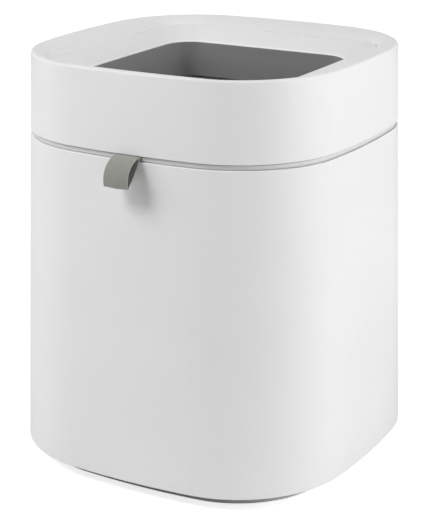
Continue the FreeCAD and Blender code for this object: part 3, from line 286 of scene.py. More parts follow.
def make_woven_band():
    """Plain weave: lengthways and crossways threads, each round on top, swap over in a checkerboard."""
    tree, wires, given, result = effect(
        "woven_band",
        [("Across", "Float", 0.0), ("Along", "Float", 0.0)],
        [("Height", "Float"), ("Gap_Shade", "Float"), ("Thread", "Float")])
    round_thread = []
    counts = []
    for label in ("Across", "Along"):
        counts.append(wires.calc("FLOOR", given[label]))
        wave = wires.calc("SINE", wires.calc("MULTIPLY", given[label], math.pi))
        round_thread.append(wires.calc("ABSOLUTE", wave))
    checker = wires.calc("PINGPONG", wires.calc("ADD", *counts), 1.0)
    over = wires.calc("POWER", round_thread[0], 0.6)
    under = wires.calc("POWER", round_thread[1], 0.6)
    both = wires.calc("MULTIPLY", over, under)
    height = wires.add("Mix", {0: checker, 2: over, 3: under}).outputs[0]
    height = wires.calc("ADD", wires.calc("MULTIPLY", height, 0.55), wires.calc("MULTIPLY", both, 0.45))
    wires.feed(result, "Height", height)
    # painted shade: 1 in the gaps between threads, where shade falls, and 0 on the threads' tops
    wires.feed(result, "Gap_Shade", wires.spread(both, 0.05, 0.55, 1.0, 0.0))
    wires.feed(result, "Thread", checker)
    return tree


effects = {tree.name: tree for tree in (make_tone_drift(), make_mould_grain(), make_dust_film(),
                                        make_fine_scuffs(), make_brushed_lines(), make_woven_band())}


# ================================================================ finishes
def use(wires, name, **inputs):
    """Places an effect in a material and returns its outputs."""
    return wires.add("Group", inputs, node_tree=effects[name]).outputs


def new_finish(name, **constants):
    """Material with a Principled shader whose own sockets hold the constants."""
    material = bpy.data.materials.new(name)
    material.use_nodes = True
    material.node_tree.nodes.clear()
    wires = Wiring(material.node_tree)
    plain = {label.replace("_", " "): value for label, value in constants.items()}
    shader = wires.add("BsdfPrincipled", plain)
    wires.add("OutputMaterial", {"Surface": shader.outputs[0]})
    return material, wires, shader, wires.add("TexCoord").outputs["Object"]


def bump(wires, shader, height, depth):
    """Relief of a given depth in metres under the shader's normal."""
    normal = wires.add("Bump", {"Height": height, "Distance": depth}).outputs[0]
    wires.feed(shader, "Normal", normal)


def dirtied(wires, shader, place, colour, roughness, patch, drift, dust, scuffs):
    """Colour and roughness with drift, dust and hairline rubs."""
    tone = use(wires, "tone_drift", Vector=place, Colour=(*colour, 1.0), Patch=patch, Drift=drift)
    film = use(wires, "dust_film", Vector=place, Colour=tone["Colour"], Amount=dust)
    rubs = use(wires, "fine_scuffs", Vector=place, Length=0.03, Cover=scuffs)
    wires.feed(shader, "Base Color", film["Colour"])
    level = wires.spread(tone["Shift"], 0.0, 1.0, roughness - 0.04, roughness + 0.05)
    level = wires.calc("ADD", level, wires.calc("MULTIPLY", film["Cover"], 0.5))
    level = wires.calc("ADD", level, wires.calc("MULTIPLY", rubs["Mask"], 0.12))
    wires.feed(shader, "Roughness", level)
    return film, rubs


def moulded(name, colour, roughness, grain, depth, ripple=0.25, patch=0.08, drift=0.02, dust=0.06, scuffs=0.3,
            burnish=None, **constants):
    """Injection-moulded plastic. Where a piece has an edge mask, a painted highlight lightens that edge."""
    material, wires, shader, place = new_finish(name, **constants)
    film, rubs = dirtied(wires, shader, place, colour, roughness, patch, drift, dust, scuffs)
    # painted highlight: the edge mask, broken up by noise, mixes the colour towards near-white, standing in
    # for light caught by rounded edges
    if burnish:
        edge = wires.add("Attribute", attribute_name="edge").outputs["Fac"]
        uneven = wires.spread(wires.noise(place, scale=70.0, detail=3.0), 0.2, 0.6, 0.6, 1.0)
        lighter = wires.blend(wires.calc("MULTIPLY", edge, uneven), film["Colour"], (*burnish, 1.0))
        wires.feed(shader, "Base Color", lighter)
    relief = use(wires, "mould_grain", Vector=place, Grain=grain, Ripple=ripple)
    height = wires.calc("SUBTRACT", relief["Height"], wires.calc("MULTIPLY", rubs["Mask"], 0.3))
    bump(wires, shader, height, depth)
    return material


def rubber(name, colour, grain, depth):
    """Soft rubber: dull, a little blotchy, with pale bloom where it was handled."""
    material, wires, shader, place = new_finish(name)
    film, _ = dirtied(wires, shader, place, colour, roughness=0.72, patch=0.02, drift=0.12, dust=0.2,
                      scuffs=0.5)
    relief = use(wires, "mould_grain", Vector=place, Grain=grain, Ripple=0.4)
    bloom = wires.spread(wires.noise(place, scale=60.0, detail=5.0), 0.5, 0.8, 0.0, 0.25)
    pale = tuple(min(1.0, 1.6 * part + 0.05) for part in colour) + (1.0,)
    wires.feed(shader, "Base Color", wires.blend(bloom, film["Colour"], pale))
    bump(wires, shader, relief["Height"], depth)
    return material


def metal(name, colour, roughness, line, run, depth):
    """Drawn or brushed metal with oil-stained patches."""
    material, wires, shader, place = new_finish(name, Metallic=1.0)
    _, rubs = dirtied(wires, shader, place, colour, roughness, patch=0.015, drift=0.1, dust=0.08, scuffs=0.5)
    brushed = use(wires, "brushed_lines", Vector=place, Line=line, Run=run)
    level = wires.spread(brushed["Shade"], 0.0, 1.0, roughness - 0.07, roughness + 0.1)
    level = wires.calc("ADD", level, wires.calc("MULTIPLY", rubs["Mask"], 0.15))
    wires.feed(shader, "Roughness", level)
    bump(wires, shader, brushed["Height"], depth)
    return material


def circuit_board(name, colour):
    """Green solder mask over copper tracks, with tinned pads."""
    material, wires, shader, place = new_finish(name, Coat_Weight=0.3)
    film, _ = dirtied(wires, shader, place, colour, roughness=0.35, patch=0.01, drift=0.15, dust=0.12,
                      scuffs=0.3)
    cells = wires.add("TexVoronoi", {"Vector": place, "Scale": 420.0, "Randomness": 0.75},
                      distance="CHEBYCHEV", feature="DISTANCE_TO_EDGE").outputs["Distance"]
    tracks = wires.spread(cells, 0.03, 0.06, 1.0, 0.0)
    dots = wires.add("TexVoronoi", {"Vector": place, "Scale": 300.0, "Randomness": 0.2}).outputs["Distance"]
    pads = wires.spread(dots, 0.13, 0.16, 1.0, 0.0)
    lighter = tuple(1.9 * part for part in colour) + (1.0,)
    tracked = wires.blend(wires.calc("MULTIPLY", tracks, 0.6), film["Colour"], lighter)
    wires.feed(shader, "Base Color", wires.blend(pads, tracked, (0.62, 0.62, 0.6, 1.0)))
    wires.feed(shader, "Metallic", pads)
    bump(wires, shader, wires.calc("ADD", tracks, pads), 0.05 * MM)
    return material


def shrink_film(name, colour, roughness, crease, depth, **constants):
    """Thin glossy film with soft creases that run round the piece."""
    material, wires, shader, place = new_finish(name, **constants)
    dirtied(wires, shader, place, colour, roughness, patch=0.02, drift=0.08, dust=0.1, scuffs=0.4)
    creases = use(wires, "brushed_lines", Vector=place, Line=crease, Run=crease * 9)
    fine = use(wires, "mould_grain", Vector=place, Grain=0.0009, Ripple=0.5)
    height = wires.calc("ADD", creases["Height"], wires.calc("MULTIPLY", fine["Height"], 0.2))
    bump(wires, shader, height, depth)
    return material


def woven(name, colour, threads_across, threads_along):
    """Woven band: threads that follow the piece's own map, with fuzz, painted shade in the gaps between
    threads, lighter edges and dye that took unevenly."""
    material, wires, shader, place = new_finish(name, Sheen_Weight=0.25, Sheen_Roughness=0.5)
    flat = wires.add("SeparateXYZ", {0: wires.add("TexCoord").outputs["UV"]}).outputs
    across = wires.calc("MULTIPLY", flat["X"], threads_across)
    along = wires.calc("MULTIPLY", flat["Y"], threads_along)
    weave = use(wires, "woven_band", Across=across, Along=along)
    tone = use(wires, "tone_drift", Vector=place, Colour=(*colour, 1.0), Patch=0.004, Drift=0.16)
    # painted shade: the gaps between threads are darkened to under half the colour
    gap_shade_colour = tuple(0.45 * part for part in colour) + (1.0,)
    shaded = wires.blend(wires.calc("MULTIPLY", weave["Gap_Shade"], 0.6), tone["Colour"], gap_shade_colour)
    light = tuple(1.12 * part for part in colour) + (1.0,)
    shaded = wires.blend(wires.calc("MULTIPLY", weave["Thread"], 0.3), shaded, light)
    # lighter towards both edges of the band
    side = wires.calc("ABSOLUTE", wires.calc("SUBTRACT", flat["X"], 0.5))
    paler_edges = wires.spread(side, 0.455, 0.478, 0.0, 0.8)
    paler_edge_colour = tuple(1.4 * part for part in colour) + (1.0,)
    shaded = wires.blend(paler_edges, shaded, paler_edge_colour)
    film = use(wires, "dust_film", Vector=place, Colour=shaded, Amount=0.08)
    wires.feed(shader, "Base Color", film["Colour"])
    fuzz = wires.noise(place, scale=6000.0, detail=3.0, roughness=0.7)
    wires.feed(shader, "Roughness", wires.spread(fuzz, 0.3, 0.7, 0.82, 0.98))
    bump(wires, shader, wires.calc("ADD", weave["Height"], wires.calc("MULTIPLY", fuzz, 0.3)), 0.22 * MM)
    return material


recipes = {
    # shell_white: the near-white colour after the grain settings is a painted highlight for edges that carry
    # an edge mask
    "shell_white": (moulded, (0.86, 0.86, 0.86), {
        "roughness": 0.42, "grain": 0.6 * MM, "depth": 0.02 * MM, "burnish": (0.98, 0.98, 0.98)}),
    # collar_grey: a grey darker than the shell's white, painted shade for the recessed strip under the head's
    # edge
    "collar_grey": (moulded, (0.68, 0.68, 0.68), {
        "roughness": 0.45, "grain": 0.6 * MM, "depth": 0.03 * MM, "drift": 0.03}),
    "chute_grey": (moulded, (0.24, 0.24, 0.24), {
        "roughness": 0.38, "grain": 0.5 * MM, "depth": 0.03 * MM, "drift": 0.05, "dust": 0.15}),
    "base_grey": (moulded, (0.4, 0.4, 0.4), {
        "roughness": 0.55, "grain": 0.7 * MM, "depth": 0.05 * MM, "drift": 0.08, "dust": 0.2, "scuffs": 0.6}),
    "foot_rubber": (rubber, (0.55, 0.55, 0.55), {"grain": 0.8 * MM, "depth": 0.06 * MM}),
    "gasket_rubber": (rubber, (0.55, 0.55, 0.55), {"grain": 0.6 * MM, "depth": 0.04 * MM}),
    "inner_white": (moulded, (0.78, 0.78, 0.78), {
        "roughness": 0.5, "grain": 0.8 * MM, "depth": 0.04 * MM, "drift": 0.04, "dust": 0.12}),
    "inner_black": (moulded, (0.06, 0.06, 0.06), {
        "roughness": 0.5, "grain": 0.6 * MM, "depth": 0.04 * MM, "drift": 0.15, "dust": 0.15}),
    "steel": (metal, (0.62, 0.62, 0.63), {
        "roughness": 0.32, "line": 0.18 * MM, "run": 15.0 * MM, "depth": 0.01 * MM}),
    "aluminium": (metal, (0.75, 0.75, 0.76), {
        "roughness": 0.4, "line": 0.25 * MM, "run": 20.0 * MM, "depth": 0.015 * MM}),
    "gear_nylon": (moulded, (0.83, 0.8, 0.7), {
        "roughness": 0.48, "grain": 0.4 * MM, "depth": 0.02 * MM, "drift": 0.08, "patch": 10.0 * MM}),
    "board_green": (circuit_board, (0.04, 0.2, 0.09), {}),
    "battery_sleeve": (shrink_film, (0.05, 0.17, 0.42), {
        "roughness": 0.22, "crease": 4.0 * MM, "depth": 0.25 * MM, "Coat_Weight": 0.4}),
    "light_pipe": (moulded, (0.85, 0.9, 0.92), {
        "roughness": 0.16, "grain": 0.5 * MM, "depth": 0.01 * MM, "ripple": 0.1, "Coat_Weight": 0.5}),
    "bag_film": (shrink_film, (0.8, 0.81, 0.82), {"roughness": 0.3, "crease": 2.5 * MM, "depth": 0.2 * MM}),
    "tab_fabric": (woven, (0.34, 0.34, 0.312), {"threads_across": 26.0, "threads_along": 94.0}),
}
finishes = {slot: make(slot, colour, **settings) for slot, (make, colour, settings) in recipes.items()}

for part in frame["record"]["subparts"]:
    node = frame["nodes"][part["node"]]
    node.data.materials.clear()
    node.data.materials.append(finishes[part["material_slot"]])


# ================================================================ meshes and profiles
def grid_faces(rows, columns, close_rows, close_columns):
    """Quads over a grid of points: a point, its right-hand neighbour and the two in the next row."""
    row = np.arange(rows if close_rows else rows - 1)[:, None]
    column = np.arange(columns if close_columns else columns - 1)[None, :]
    next_row = (row + 1) % rows
    next_column = (column + 1) % columns
    quads = [row * columns + column, row * columns + next_column,
             next_row * columns + next_column, next_row * columns + column]
    return np.stack([np.broadcast_to(corner, (row.size, column.size)).ravel() for corner in quads], axis=1)


def outwards(points, faces):
    """Faces turned so that the closed surface's volume, the sum of its corner tetrahedra, is positive."""
    first, second, third, fourth = (points[faces[:, corner]] for corner in range(4))
    volume = np.einsum("ij,ij->", first, np.cross(second, third) + np.cross(third, fourth))
    return faces if volume > 0 else faces[:, ::-1]


def add_piece(name, points, faces, slot, body, replaced, end_caps=(), closed=True):
    """Mesh object from arrays of points and quads, with its finish, its body and the nodes it replaces."""
    if closed:
        faces = outwards(points, faces)
    mesh = bpy.data.meshes.new(name)
    mesh.from_pydata(points.tolist(), [], faces.tolist() + [list(cap) for cap in end_caps])
    mesh.shade_smooth()
    mesh.validate()
    piece = bpy.data.objects.new(name, mesh)
    bpy.context.scene.collection.objects.link(piece)
    mesh.materials.append(finishes[slot])
    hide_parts(*replaced)
    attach(piece, body)
    return piece


def swept_ring(name, half, crown, corner, height, slot, body, replaced):
    """Closed ring: a closed profile, given as half widths and heights, carried round the crowned square.

    Each profile point makes one row, the outline of its own half width at its own height.
    """
    x, y = crowned_square(half, crown, corner)
    z = np.broadcast_to(np.asarray(height)[:, None], x.shape)
    points = np.stack([x, y, z], axis=2).reshape(-1, 3)
    return add_piece(name, points, grid_faces(*x.shape, True, True), slot, body, replaced)


def quadratic(first, middle, last, share):
    """Quadratic curve from first to last, drawn towards one middle pole, at shares from 0 to 1."""
    return (1 - share) ** 2 * first + 2 * share * (1 - share) * middle + share ** 2 * last


def rounded_profile(corners, radii, steps=6):
    """Closed profile through (half, height) corners, each rounded by a quadratic curve that starts and ends
    one radius from the corner and has the corner as its middle pole."""
    corners = np.asarray(corners, float)
    radii = np.asarray(radii, float)[:, None]
    before = np.roll(corners, 1, axis=0) - corners
    after = np.roll(corners, -1, axis=0) - corners
    before /= np.linalg.norm(before, axis=1, keepdims=True)
    after /= np.linalg.norm(after, axis=1, keepdims=True)
    first = (corners + before * radii)[:, None, :]
    last = (corners + after * radii)[:, None, :]
    share = np.linspace(0, 1, steps)[None, :, None]
    return quadratic(first, corners[:, None, :], last, share).reshape(-1, 2)


def half_of(node):
    """Half of a node's width."""
    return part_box(node)[1].x


def heights_of(node):
    """Lowest and highest point of a node."""
    low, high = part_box(node)
    return low.z, high.z


# ================================================================ pieces that stand in for plain solids
def make_ring_cover():
    """Inner ring of the dish: its surface from the parting line to the lip, and the insides of lip and skirt.

    On top the height follows dish_ring from the parting line to the opening, and both edges turn down in
    short quadratic curves. Below, the surface repeats the top lowered by the dish's wall. The attribute edge
    is 1 on the two turned edges and 0 elsewhere; it masks a painted highlight there.
    """
    line_growth = 0.28 * MM
    line_round = 1.2 * MM
    line_drop = 0.8 * MM
    lip_round = 0.8 * MM
    end_round = 0.25 * MM
    seat_depth = 18.0 * MM
    skirt = half_of("ring_cover") + line_growth
    skirt_inside = skirt - skirt_wall
    lip_outside = mouth_half + lip_thickness
    mouth_top = total_height - dish_depth
    lip_low = mouth_top - lip_height
    seat = total_height - seat_depth

    top_half, _, _, top = dish_ring(dish_share(np.linspace(skirt - line_round, mouth_half + lip_round, 40)))
    line_top = dish_ring(dish_share(skirt))[3] - line_drop
    turn = np.linspace(0, 1, 8)[:-1]
    line_edge = quadratic(line_top - line_round, line_top, top[0], turn)
    line_half = quadratic(skirt, skirt, skirt - line_round, turn)
    turn = np.linspace(0, 1, 9)[1:]
    lip_edge = quadratic(top[-1], mouth_top, mouth_top - lip_round, turn)
    lip_half = quadratic(mouth_half + lip_round, mouth_half, mouth_half, turn)
    under_half, _, _, under = dish_ring(dish_share(np.linspace(lip_outside, skirt_inside, 16)))

    halves = np.concatenate([
        line_half, top_half, lip_half,
        [mouth_half, mouth_half + end_round, lip_outside - end_round, lip_outside],
        under_half,
        [skirt_inside, skirt_inside + end_round, skirt - end_round, skirt]])
    heights = np.concatenate([
        line_edge, top, lip_edge,
        [lip_low + end_round, lip_low, lip_low, lip_low + end_round],
        under - dish_wall,
        [seat + end_round, seat, seat, seat + end_round]])
    _, crowns, corners, _ = dish_ring(np.clip(dish_share(halves), line_share, 1.0))
    cover = swept_ring("ring_cover.visual", halves, crowns, corners, heights, "shell_white", "ring",
                       ["ring_cover"])

    # painted highlight: the mask is 1 on the two turned edges, where the finish paints near-white
    edge_highlight_mask = np.zeros(halves.size, np.float32)
    edge_highlight_mask[1:line_half.size] = 1.0
    lip_start = line_half.size + top_half.size
    edge_highlight_mask[lip_start:lip_start + lip_half.size] = 1.0
    per_point = np.repeat(edge_highlight_mask, len(cover.data.vertices) // halves.size)
    cover.data.attributes.new("edge", "FLOAT", "POINT").data.foreach_set("value", per_point)
    return cover


def make_bag_chute():
    """Tapered grey guide whose inner face runs up inside the lip as a thin skin.

    The profile goes up the tapered outside, in under the lip, up and over the skin, and down the inside.
    """
    low, high = heights_of("bag_chute")
    outer = half_of("bag_chute")
    taper = 0.9 * MM
    thick = 1.6 * MM
    shoulder = high - 0.1 * MM
    skin_out = mouth_half - 0.05 * MM
    skin_in = mouth_half - 0.5 * MM
    skin_high = total_height - dish_depth - 0.9 * MM
    inner_bend = high - 4.0 * MM
    profile = rounded_profile(
        [(outer - taper, low), (outer, shoulder), (skin_out, shoulder), (skin_out, skin_high),
         (skin_in, skin_high), (outer - thick, inner_bend), (outer - taper - thick, low)],
        [0.3 * MM, 0.3 * MM, 0.04 * MM, 0.1 * MM, 0.1 * MM, 2.5 * MM, 0.3 * MM])
    corner = mouth_corner - (mouth_half - profile[:, 0])
    return swept_ring("bag_chute.visual", profile[:, 0], mouth_crown, corner, profile[:, 1], "chute_grey",
                      "ring", ["bag_chute"])


def make_film_pack():
    """Pleated tube of film packed in the refill's channel.

    The profile follows the channel: up its outer wall, over, down its inner wall and back. Each wall is drawn
    in by a half cosine wave of the height, whose depth and phase drift round the ring by a seeded sum of
    sines. The top sags by a sine of the same drift.
    """
    random = np.random.default_rng(pleat_seed)
    pleats = 11
    pleat_depth = 0.9 * MM
    top_sag = 0.35 * MM
    ring_clearance = 3.0 * MM
    channel_wall = 2.5 * MM
    outer = half_of("film_pack")
    low, high = heights_of("film_pack")
    inner = mouth_half + ring_clearance + channel_wall
    outer_corner = line_corner - channel_wall

    up = np.linspace(0.02, 0.98, pleats * 6)
    over = np.linspace(0.06, 0.94, 10)
    base = np.concatenate([np.full(up.size, outer), outer + (inner - outer) * over, np.full(up.size, inner),
                           inner + (outer - inner) * over[[0, -1]]])
    level = np.concatenate([up, np.full(over.size, 1.0), up[::-1], [0.0, 0.0]])
    way = np.concatenate([np.full(up.size, -1.0), np.zeros(over.size), np.full(up.size, 1.0), [0.0, 0.0]])

    columns = 4 * (side_steps + corner_steps)
    round_turn = np.linspace(0, 2 * np.pi, columns, endpoint=False)
    wander = np.zeros(columns)
    swell = np.zeros(columns)
    for count in (3, 5, 8, 13, 21):
        wander += random.normal() * np.sin(count * round_turn + random.uniform(0, 2 * np.pi)) / count
        swell += random.normal() * np.sin(count * round_turn + random.uniform(0, 2 * np.pi)) / count
    phase = level[:, None] * pleats * 2 * np.pi + 1.2 * wander[None, :]
    pull = pleat_depth * (0.5 - 0.5 * np.cos(phase)) * (1 + 0.35 * np.clip(swell, -1, 1))[None, :]

    x, y = crowned_square(base, line_crown, outer_corner - (outer - base))
    reach = (base[:, None] + way[:, None] * pull) / base[:, None]
    sag = (level == 1.0)[:, None] * top_sag * (np.sin(4.5 + 3 * wander)[None, :] - 1)
    z = (low + (high - low) * level)[:, None] + sag
    points = np.stack([x * reach, y * reach, z], axis=2).reshape(-1, 3)
    return add_piece("film_pack.visual", points, grid_faces(*x.shape, True, True), "bag_film", "refill",
                     ["film_pack"])


def make_lid_gasket():
    """Gasket with a round crown: its profile's two upper corners are curves of a quarter of its width."""
    width = 4.0 * MM
    corner_growth = 4.0 * MM
    foot_round = 0.3 * MM
    crown_round = 1.0 * MM
    outer = half_of("lid_gasket")
    inner = outer - width
    low, high = heights_of("lid_gasket")
    profile = rounded_profile([(outer, low), (outer, high), (inner, high), (inner, low)],
                              [foot_round, crown_round, crown_round, foot_round])
    outer_corner = side_corner - (rim_half - outer) + corner_growth
    corner = outer_corner - (outer - profile[:, 0])
    return swept_ring("lid_gasket.visual", profile[:, 0], line_crown, corner, profile[:, 1], "gasket_rubber",
                      "drum", ["lid_gasket"])


def make_foot_ring():
    """Rubber foot: a rounded strip whose underside has two shallow grooves, trapeziums in the profile."""
    width = 8.0 * MM
    groove = 0.5 * MM
    top_round = 0.3 * MM
    floor_round = 0.7 * MM
    groove_round = 0.12 * MM
    outer = half_of("foot_ring")
    inner = outer - width
    low, high = heights_of("foot_ring")
    corners = [(outer, high), (inner, high), (inner, low)]
    radii = [top_round, top_round, floor_round]
    for middle in (inner + 2.6 * MM, inner + 5.4 * MM):
        corners += [(middle - groove, low), (middle - groove * 0.6, low + groove),
                    (middle + groove * 0.6, low + groove), (middle + groove, low)]
        radii += [groove_round] * 4
    corners.append((outer, low))
    radii.append(floor_round)
    profile = rounded_profile(corners, radii, steps=4)
    inset = rim_half - profile[:, 0]
    return swept_ring("foot_ring.visual", profile[:, 0], side_crown - inset, side_corner - inset,
                      profile[:, 1], "foot_rubber", "drum", ["foot_ring"])


def make_latch_spring():
    """Two coil springs: round wire whose middle line turns evenly round an axis along Y while it advances.

    A wire's point lies the coil's radius plus the wire's cosine from the axis, and the wire's sine along it.
    """
    wire = 0.3 * MM
    radius = 1.6 * MM
    pitch = 1.4 * MM
    turn_steps = 40
    low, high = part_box("latch_spring")
    middle_z = (low.z + high.z) / 2
    shift = (high.x - low.x) / 2 - radius - wire
    length = high.y - low.y - 2 * wire
    steps = int(length / pitch * turn_steps)
    turn = np.linspace(0, 2 * np.pi * length / pitch, steps)
    around = np.linspace(0, 2 * np.pi, 16, endpoint=False)
    reach = radius + wire * np.cos(around)[None, :]
    y = low.y + wire + length * (turn / turn[-1])[:, None] + wire * np.sin(around)[None, :]
    z = middle_z + reach * np.sin(turn)[:, None]
    points = []
    faces = []
    caps = []
    for side in (-1, 1):
        x = side * shift + reach * np.cos(turn)[:, None]
        first = sum(len(block) for block in points)
        points.append(np.stack([x, y, z], axis=2).reshape(-1, 3))
        faces.append(grid_faces(steps, around.size, False, True) + first)
        caps.append(list(range(first, first + around.size)))
        caps.append(list(range(first + steps * around.size - 1, first + (steps - 1) * around.size - 1, -1)))
    return add_piece("latch_spring.visual", np.concatenate(points), np.concatenate(faces), "steel", "head",
                     ["latch_spring"], end_caps=caps)


def bezier(poles, count):
    """Points of a cubic Bezier curve, and the unit tangents there: it runs from the first to the last of four
    (Y, Z) poles and is drawn towards the two between."""
    share = np.linspace(0, 1, count)[:, None]
    poles = np.asarray(poles)
    point = ((1 - share) ** 3 * poles[0] + 3 * share * (1 - share) ** 2 * poles[1]
             + 3 * share ** 2 * (1 - share) * poles[2] + share ** 3 * poles[3])
    way = ((1 - share) ** 2 * (poles[1] - poles[0]) + 2 * share * (1 - share) * (poles[2] - poles[1])
           + share ** 2 * (poles[3] - poles[2]))
    return point, way / np.linalg.norm(way, axis=1, keepdims=True)


def tab_path():
    """Middle line of the tab's fabric in the YZ plane, evenly spaced, with the length run at each point.

    It goes out along the latch, down the front layer's Bezier curve, round the fold's half circle, up the
    back layer's Bezier curve and in along the latch again. Each layer lies half a thickness inside its curve.
    """
    head_low = total_height - head_height
    growth = (total_height - head_low) * math.tan(wall_draft)
    exit_y = -(rim_half + growth) - tab_exit_gap
    tab_high = head_low - 0.3 * MM
    tab_low = tab_high - 2 * tab_thickness
    fold_y = exit_y - tab_reach
    fold_z = tab_high - tab_drop + fold_round
    half = tab_thickness / 2
    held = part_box("pull_tab")[1].y
    front, front_way = bezier([(exit_y, tab_high), (exit_y - tab_reach * 0.45 - tab_bulge, tab_high),
                               (fold_y - tab_bulge * 0.75, tab_high - tab_drop * 0.45), (fold_y, fold_z)], 60)
    front = front + np.stack([-front_way[:, 1], front_way[:, 0]], axis=1) * half
    back, back_way = bezier([(exit_y, tab_low), (exit_y - tab_reach * 0.02, tab_low - tab_drop * 0.23),
                             (exit_y - tab_reach * 0.45, tab_high - tab_drop * 0.65),
                             (fold_y + 2 * fold_round, fold_z)], 60)
    back = back + np.stack([back_way[:, 1], -back_way[:, 0]], axis=1) * half
    turn = np.linspace(np.pi, 2 * np.pi, 14)[1:-1]
    reach = fold_round - half
    fold = np.stack([fold_y + fold_round + reach * np.cos(turn), fold_z + reach * np.sin(turn)], axis=1)
    way_in = np.stack([np.linspace(held, exit_y, 12), np.full(12, tab_high - half)], axis=1)[:-1]
    way_out = np.stack([np.linspace(exit_y, held, 12), np.full(12, tab_low + half)], axis=1)[1:]
    path = np.concatenate([way_in, front, fold, back[::-1], way_out])
    length = np.concatenate([[0.0], np.cumsum(np.linalg.norm(np.diff(path, axis=0), axis=1))])
    even = np.linspace(0, length[-1], 180)
    return np.stack([np.interp(even, length, path[:, axis]) for axis in (0, 1)], axis=1), even


def make_pull_tab():
    """Fabric loop: the path carried across the width, then thickened by Solidify.

    On the free part, the edges curl out by a cosine of the place across the width, and a slow sine of both
    places ripples the band. The map's U runs across the band, from the middle of its first thread to the
    middle of its last, and V runs along it.
    """
    edge_curl = 0.12 * MM
    band_ripple = 0.1 * MM
    pile_gap = 0.05 * MM
    path, along = tab_path()
    low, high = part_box("pull_tab")
    width = high.x - low.x
    across = np.linspace(0, 1, 25)
    way = np.gradient(path, axis=0)
    way /= np.linalg.norm(way, axis=1, keepdims=True)
    normal = np.stack([way[:, 1], -way[:, 0]], axis=1)
    share = along / along[-1]
    free = np.clip((0.32 - np.abs(share - 0.5)) / 0.1, 0, 1)
    curl = edge_curl * (1 - np.cos(2 * np.pi * across))[None, :] * free[:, None]
    ripple = band_ripple * np.sin(2 * np.pi * (across[None, :] * 1.3 + share[:, None] * 3.1)) * free[:, None]
    push = curl + ripple
    x = np.broadcast_to(low.x + width * across[None, :], push.shape)
    y = path[:, 0][:, None] + normal[:, 0][:, None] * push
    z = path[:, 1][:, None] + normal[:, 1][:, None] * push
    points = np.stack([x, y, z], axis=2).reshape(-1, 3)
    faces = grid_faces(*x.shape, False, False)
    tab = add_piece("pull_tab.visual", points, faces, "tab_fabric", "latch", ["pull_tab"], closed=False)

    inside = np.broadcast_to(0.02 + 0.96 * across[None, :], x.shape)
    places = np.stack([inside, np.broadcast_to(share[:, None], x.shape)], axis=2).reshape(-1, 2)
    corner = np.zeros(len(tab.data.loops), int)
    tab.data.loops.foreach_get("vertex_index", corner)
    tab.data.uv_layers.new(name="band").data.foreach_set("uv", places[corner].ravel())
    thick = tab.modifiers.new("cloth", "SOLIDIFY")
    thick.thickness = tab_thickness - pile_gap
    thick.offset = 0.0
    return tab


# ================================================================ room, lamps and camera
near_lift = 0.7                     # glow of the floor near the bin, as the camera sees it
far_lift = 0.97                     # and far from it
room_level = 0.05                   # the room's own light on the bin
aim = Vector((0, 0, 0.16))          # where the lamps point
lamps = {                           # place, size and power
    "left_box": ((-1.9, -1.3, 1.3), 1.2, 16.0),
    "high_left_box": ((-1.0, -1.4, 2.0), 0.9, 33.1),
    "right_box": ((2.1, 0.1, 0.9), 1.6, 34.8),
    "back_right_box": ((1.6, 1.6, 1.0), 1.6, 6.5),
}


def make_floor():
    """Wide pale floor that keeps the bin's shadow and fades to white with the distance from the bin."""
    reach = 12.0
    drop = 0.3 * MM
    near = 0.35
    far = 1.4
    floor = bpy.data.meshes.new("floor")
    floor.from_pydata([(-reach, -reach, 0), (reach, -reach, 0), (reach, reach, 0), (-reach, reach, 0)], [],
                      [(0, 1, 2, 3)])
    piece = bpy.data.objects.new("floor", floor)
    piece.location.z = -drop
    bpy.context.scene.collection.objects.link(piece)
    material, wires, shader, place = new_finish("pale_floor", Roughness=0.9)
    shader.inputs["Base Color"].default_value = (0.8, 0.8, 0.8, 1.0)
    shader.inputs["Specular IOR Level"].default_value = 0.1
    shader.inputs["Emission Color"].default_value = (1.0, 1.0, 1.0, 1.0)
    seen = wires.add("LightPath").outputs["Is Camera Ray"]
    distance = wires.add("VectorMath", {0: place}, operation="LENGTH").outputs["Value"]
    lift = wires.spread(distance, near, far, near_lift, far_lift)
    wires.feed(shader, "Emission Strength", wires.calc("MULTIPLY", seen, lift))
    floor.materials.append(material)


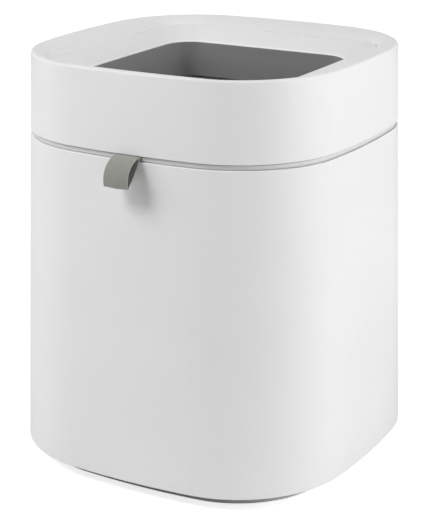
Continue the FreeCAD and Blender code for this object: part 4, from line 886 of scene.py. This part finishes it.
def make_world():
    """White where it is seen, mirrored or seen through, and a plainer level where it lights."""
    world = bpy.data.worlds.new("room")
    bpy.context.scene.world = world
    world.use_nodes = True
    world.node_tree.nodes.clear()
    wires = Wiring(world.node_tree)
    ray = wires.add("LightPath").outputs
    seen = wires.calc("MAXIMUM", ray["Is Camera Ray"], ray["Is Glossy Ray"])
    seen = wires.calc("MAXIMUM", seen, ray["Is Transmission Ray"])
    strength = wires.spread(seen, 0.0, 1.0, room_level, 1.0)
    background = wires.add("Background", {"Color": (1.0, 1.0, 1.0, 1.0), "Strength": strength})
    wires.add("OutputWorld", {"Surface": background.outputs[0]})


def add_lamp(name, place, size, power):
    """Square soft box that faces the bin's middle."""
    light = bpy.data.lights.new(name, "AREA")
    light.size = size
    light.energy = power
    lamp = bpy.data.objects.new(name, light)
    lamp.location = place
    lamp.rotation_euler = (aim - Vector(place)).to_track_quat("-Z", "Y").to_euler()
    bpy.context.scene.collection.objects.link(lamp)


def make_camera():
    """Camera off the near corner: turned from the front to the right, and looking a little downwards."""
    turn = math.radians(29.53)
    pitch = math.radians(17.88)
    distance = 1.3966
    sideways = -0.00296
    upwards = -0.00546
    ahead = Vector((-math.sin(turn) * math.cos(pitch), math.cos(turn) * math.cos(pitch), -math.sin(pitch)))
    right = Vector((math.cos(turn), math.sin(turn), 0))
    above = right.cross(ahead)
    target = Vector((0, 0, 0.165)) + right * sideways + above * upwards
    lens = bpy.data.cameras.new("camera")
    lens.lens = 112.89
    lens.sensor_width = 36.0
    camera = bpy.data.objects.new("camera", lens)
    bpy.context.scene.collection.objects.link(camera)
    turned = Matrix((right, above, -ahead)).transposed().to_4x4()
    camera.matrix_world = Matrix.Translation(target - ahead * distance) @ turned
    bpy.context.scene.camera = camera


# ================================================================ the whole scene
make_ring_cover()
make_bag_chute()
make_film_pack()
make_lid_gasket()
make_foot_ring()
make_latch_spring()
make_pull_tab()
make_floor()
make_world()
for name, (place, size, power) in lamps.items():
    add_lamp(name, place, size, power)
make_camera()
bpy.context.scene.view_settings.view_transform = "Standard"
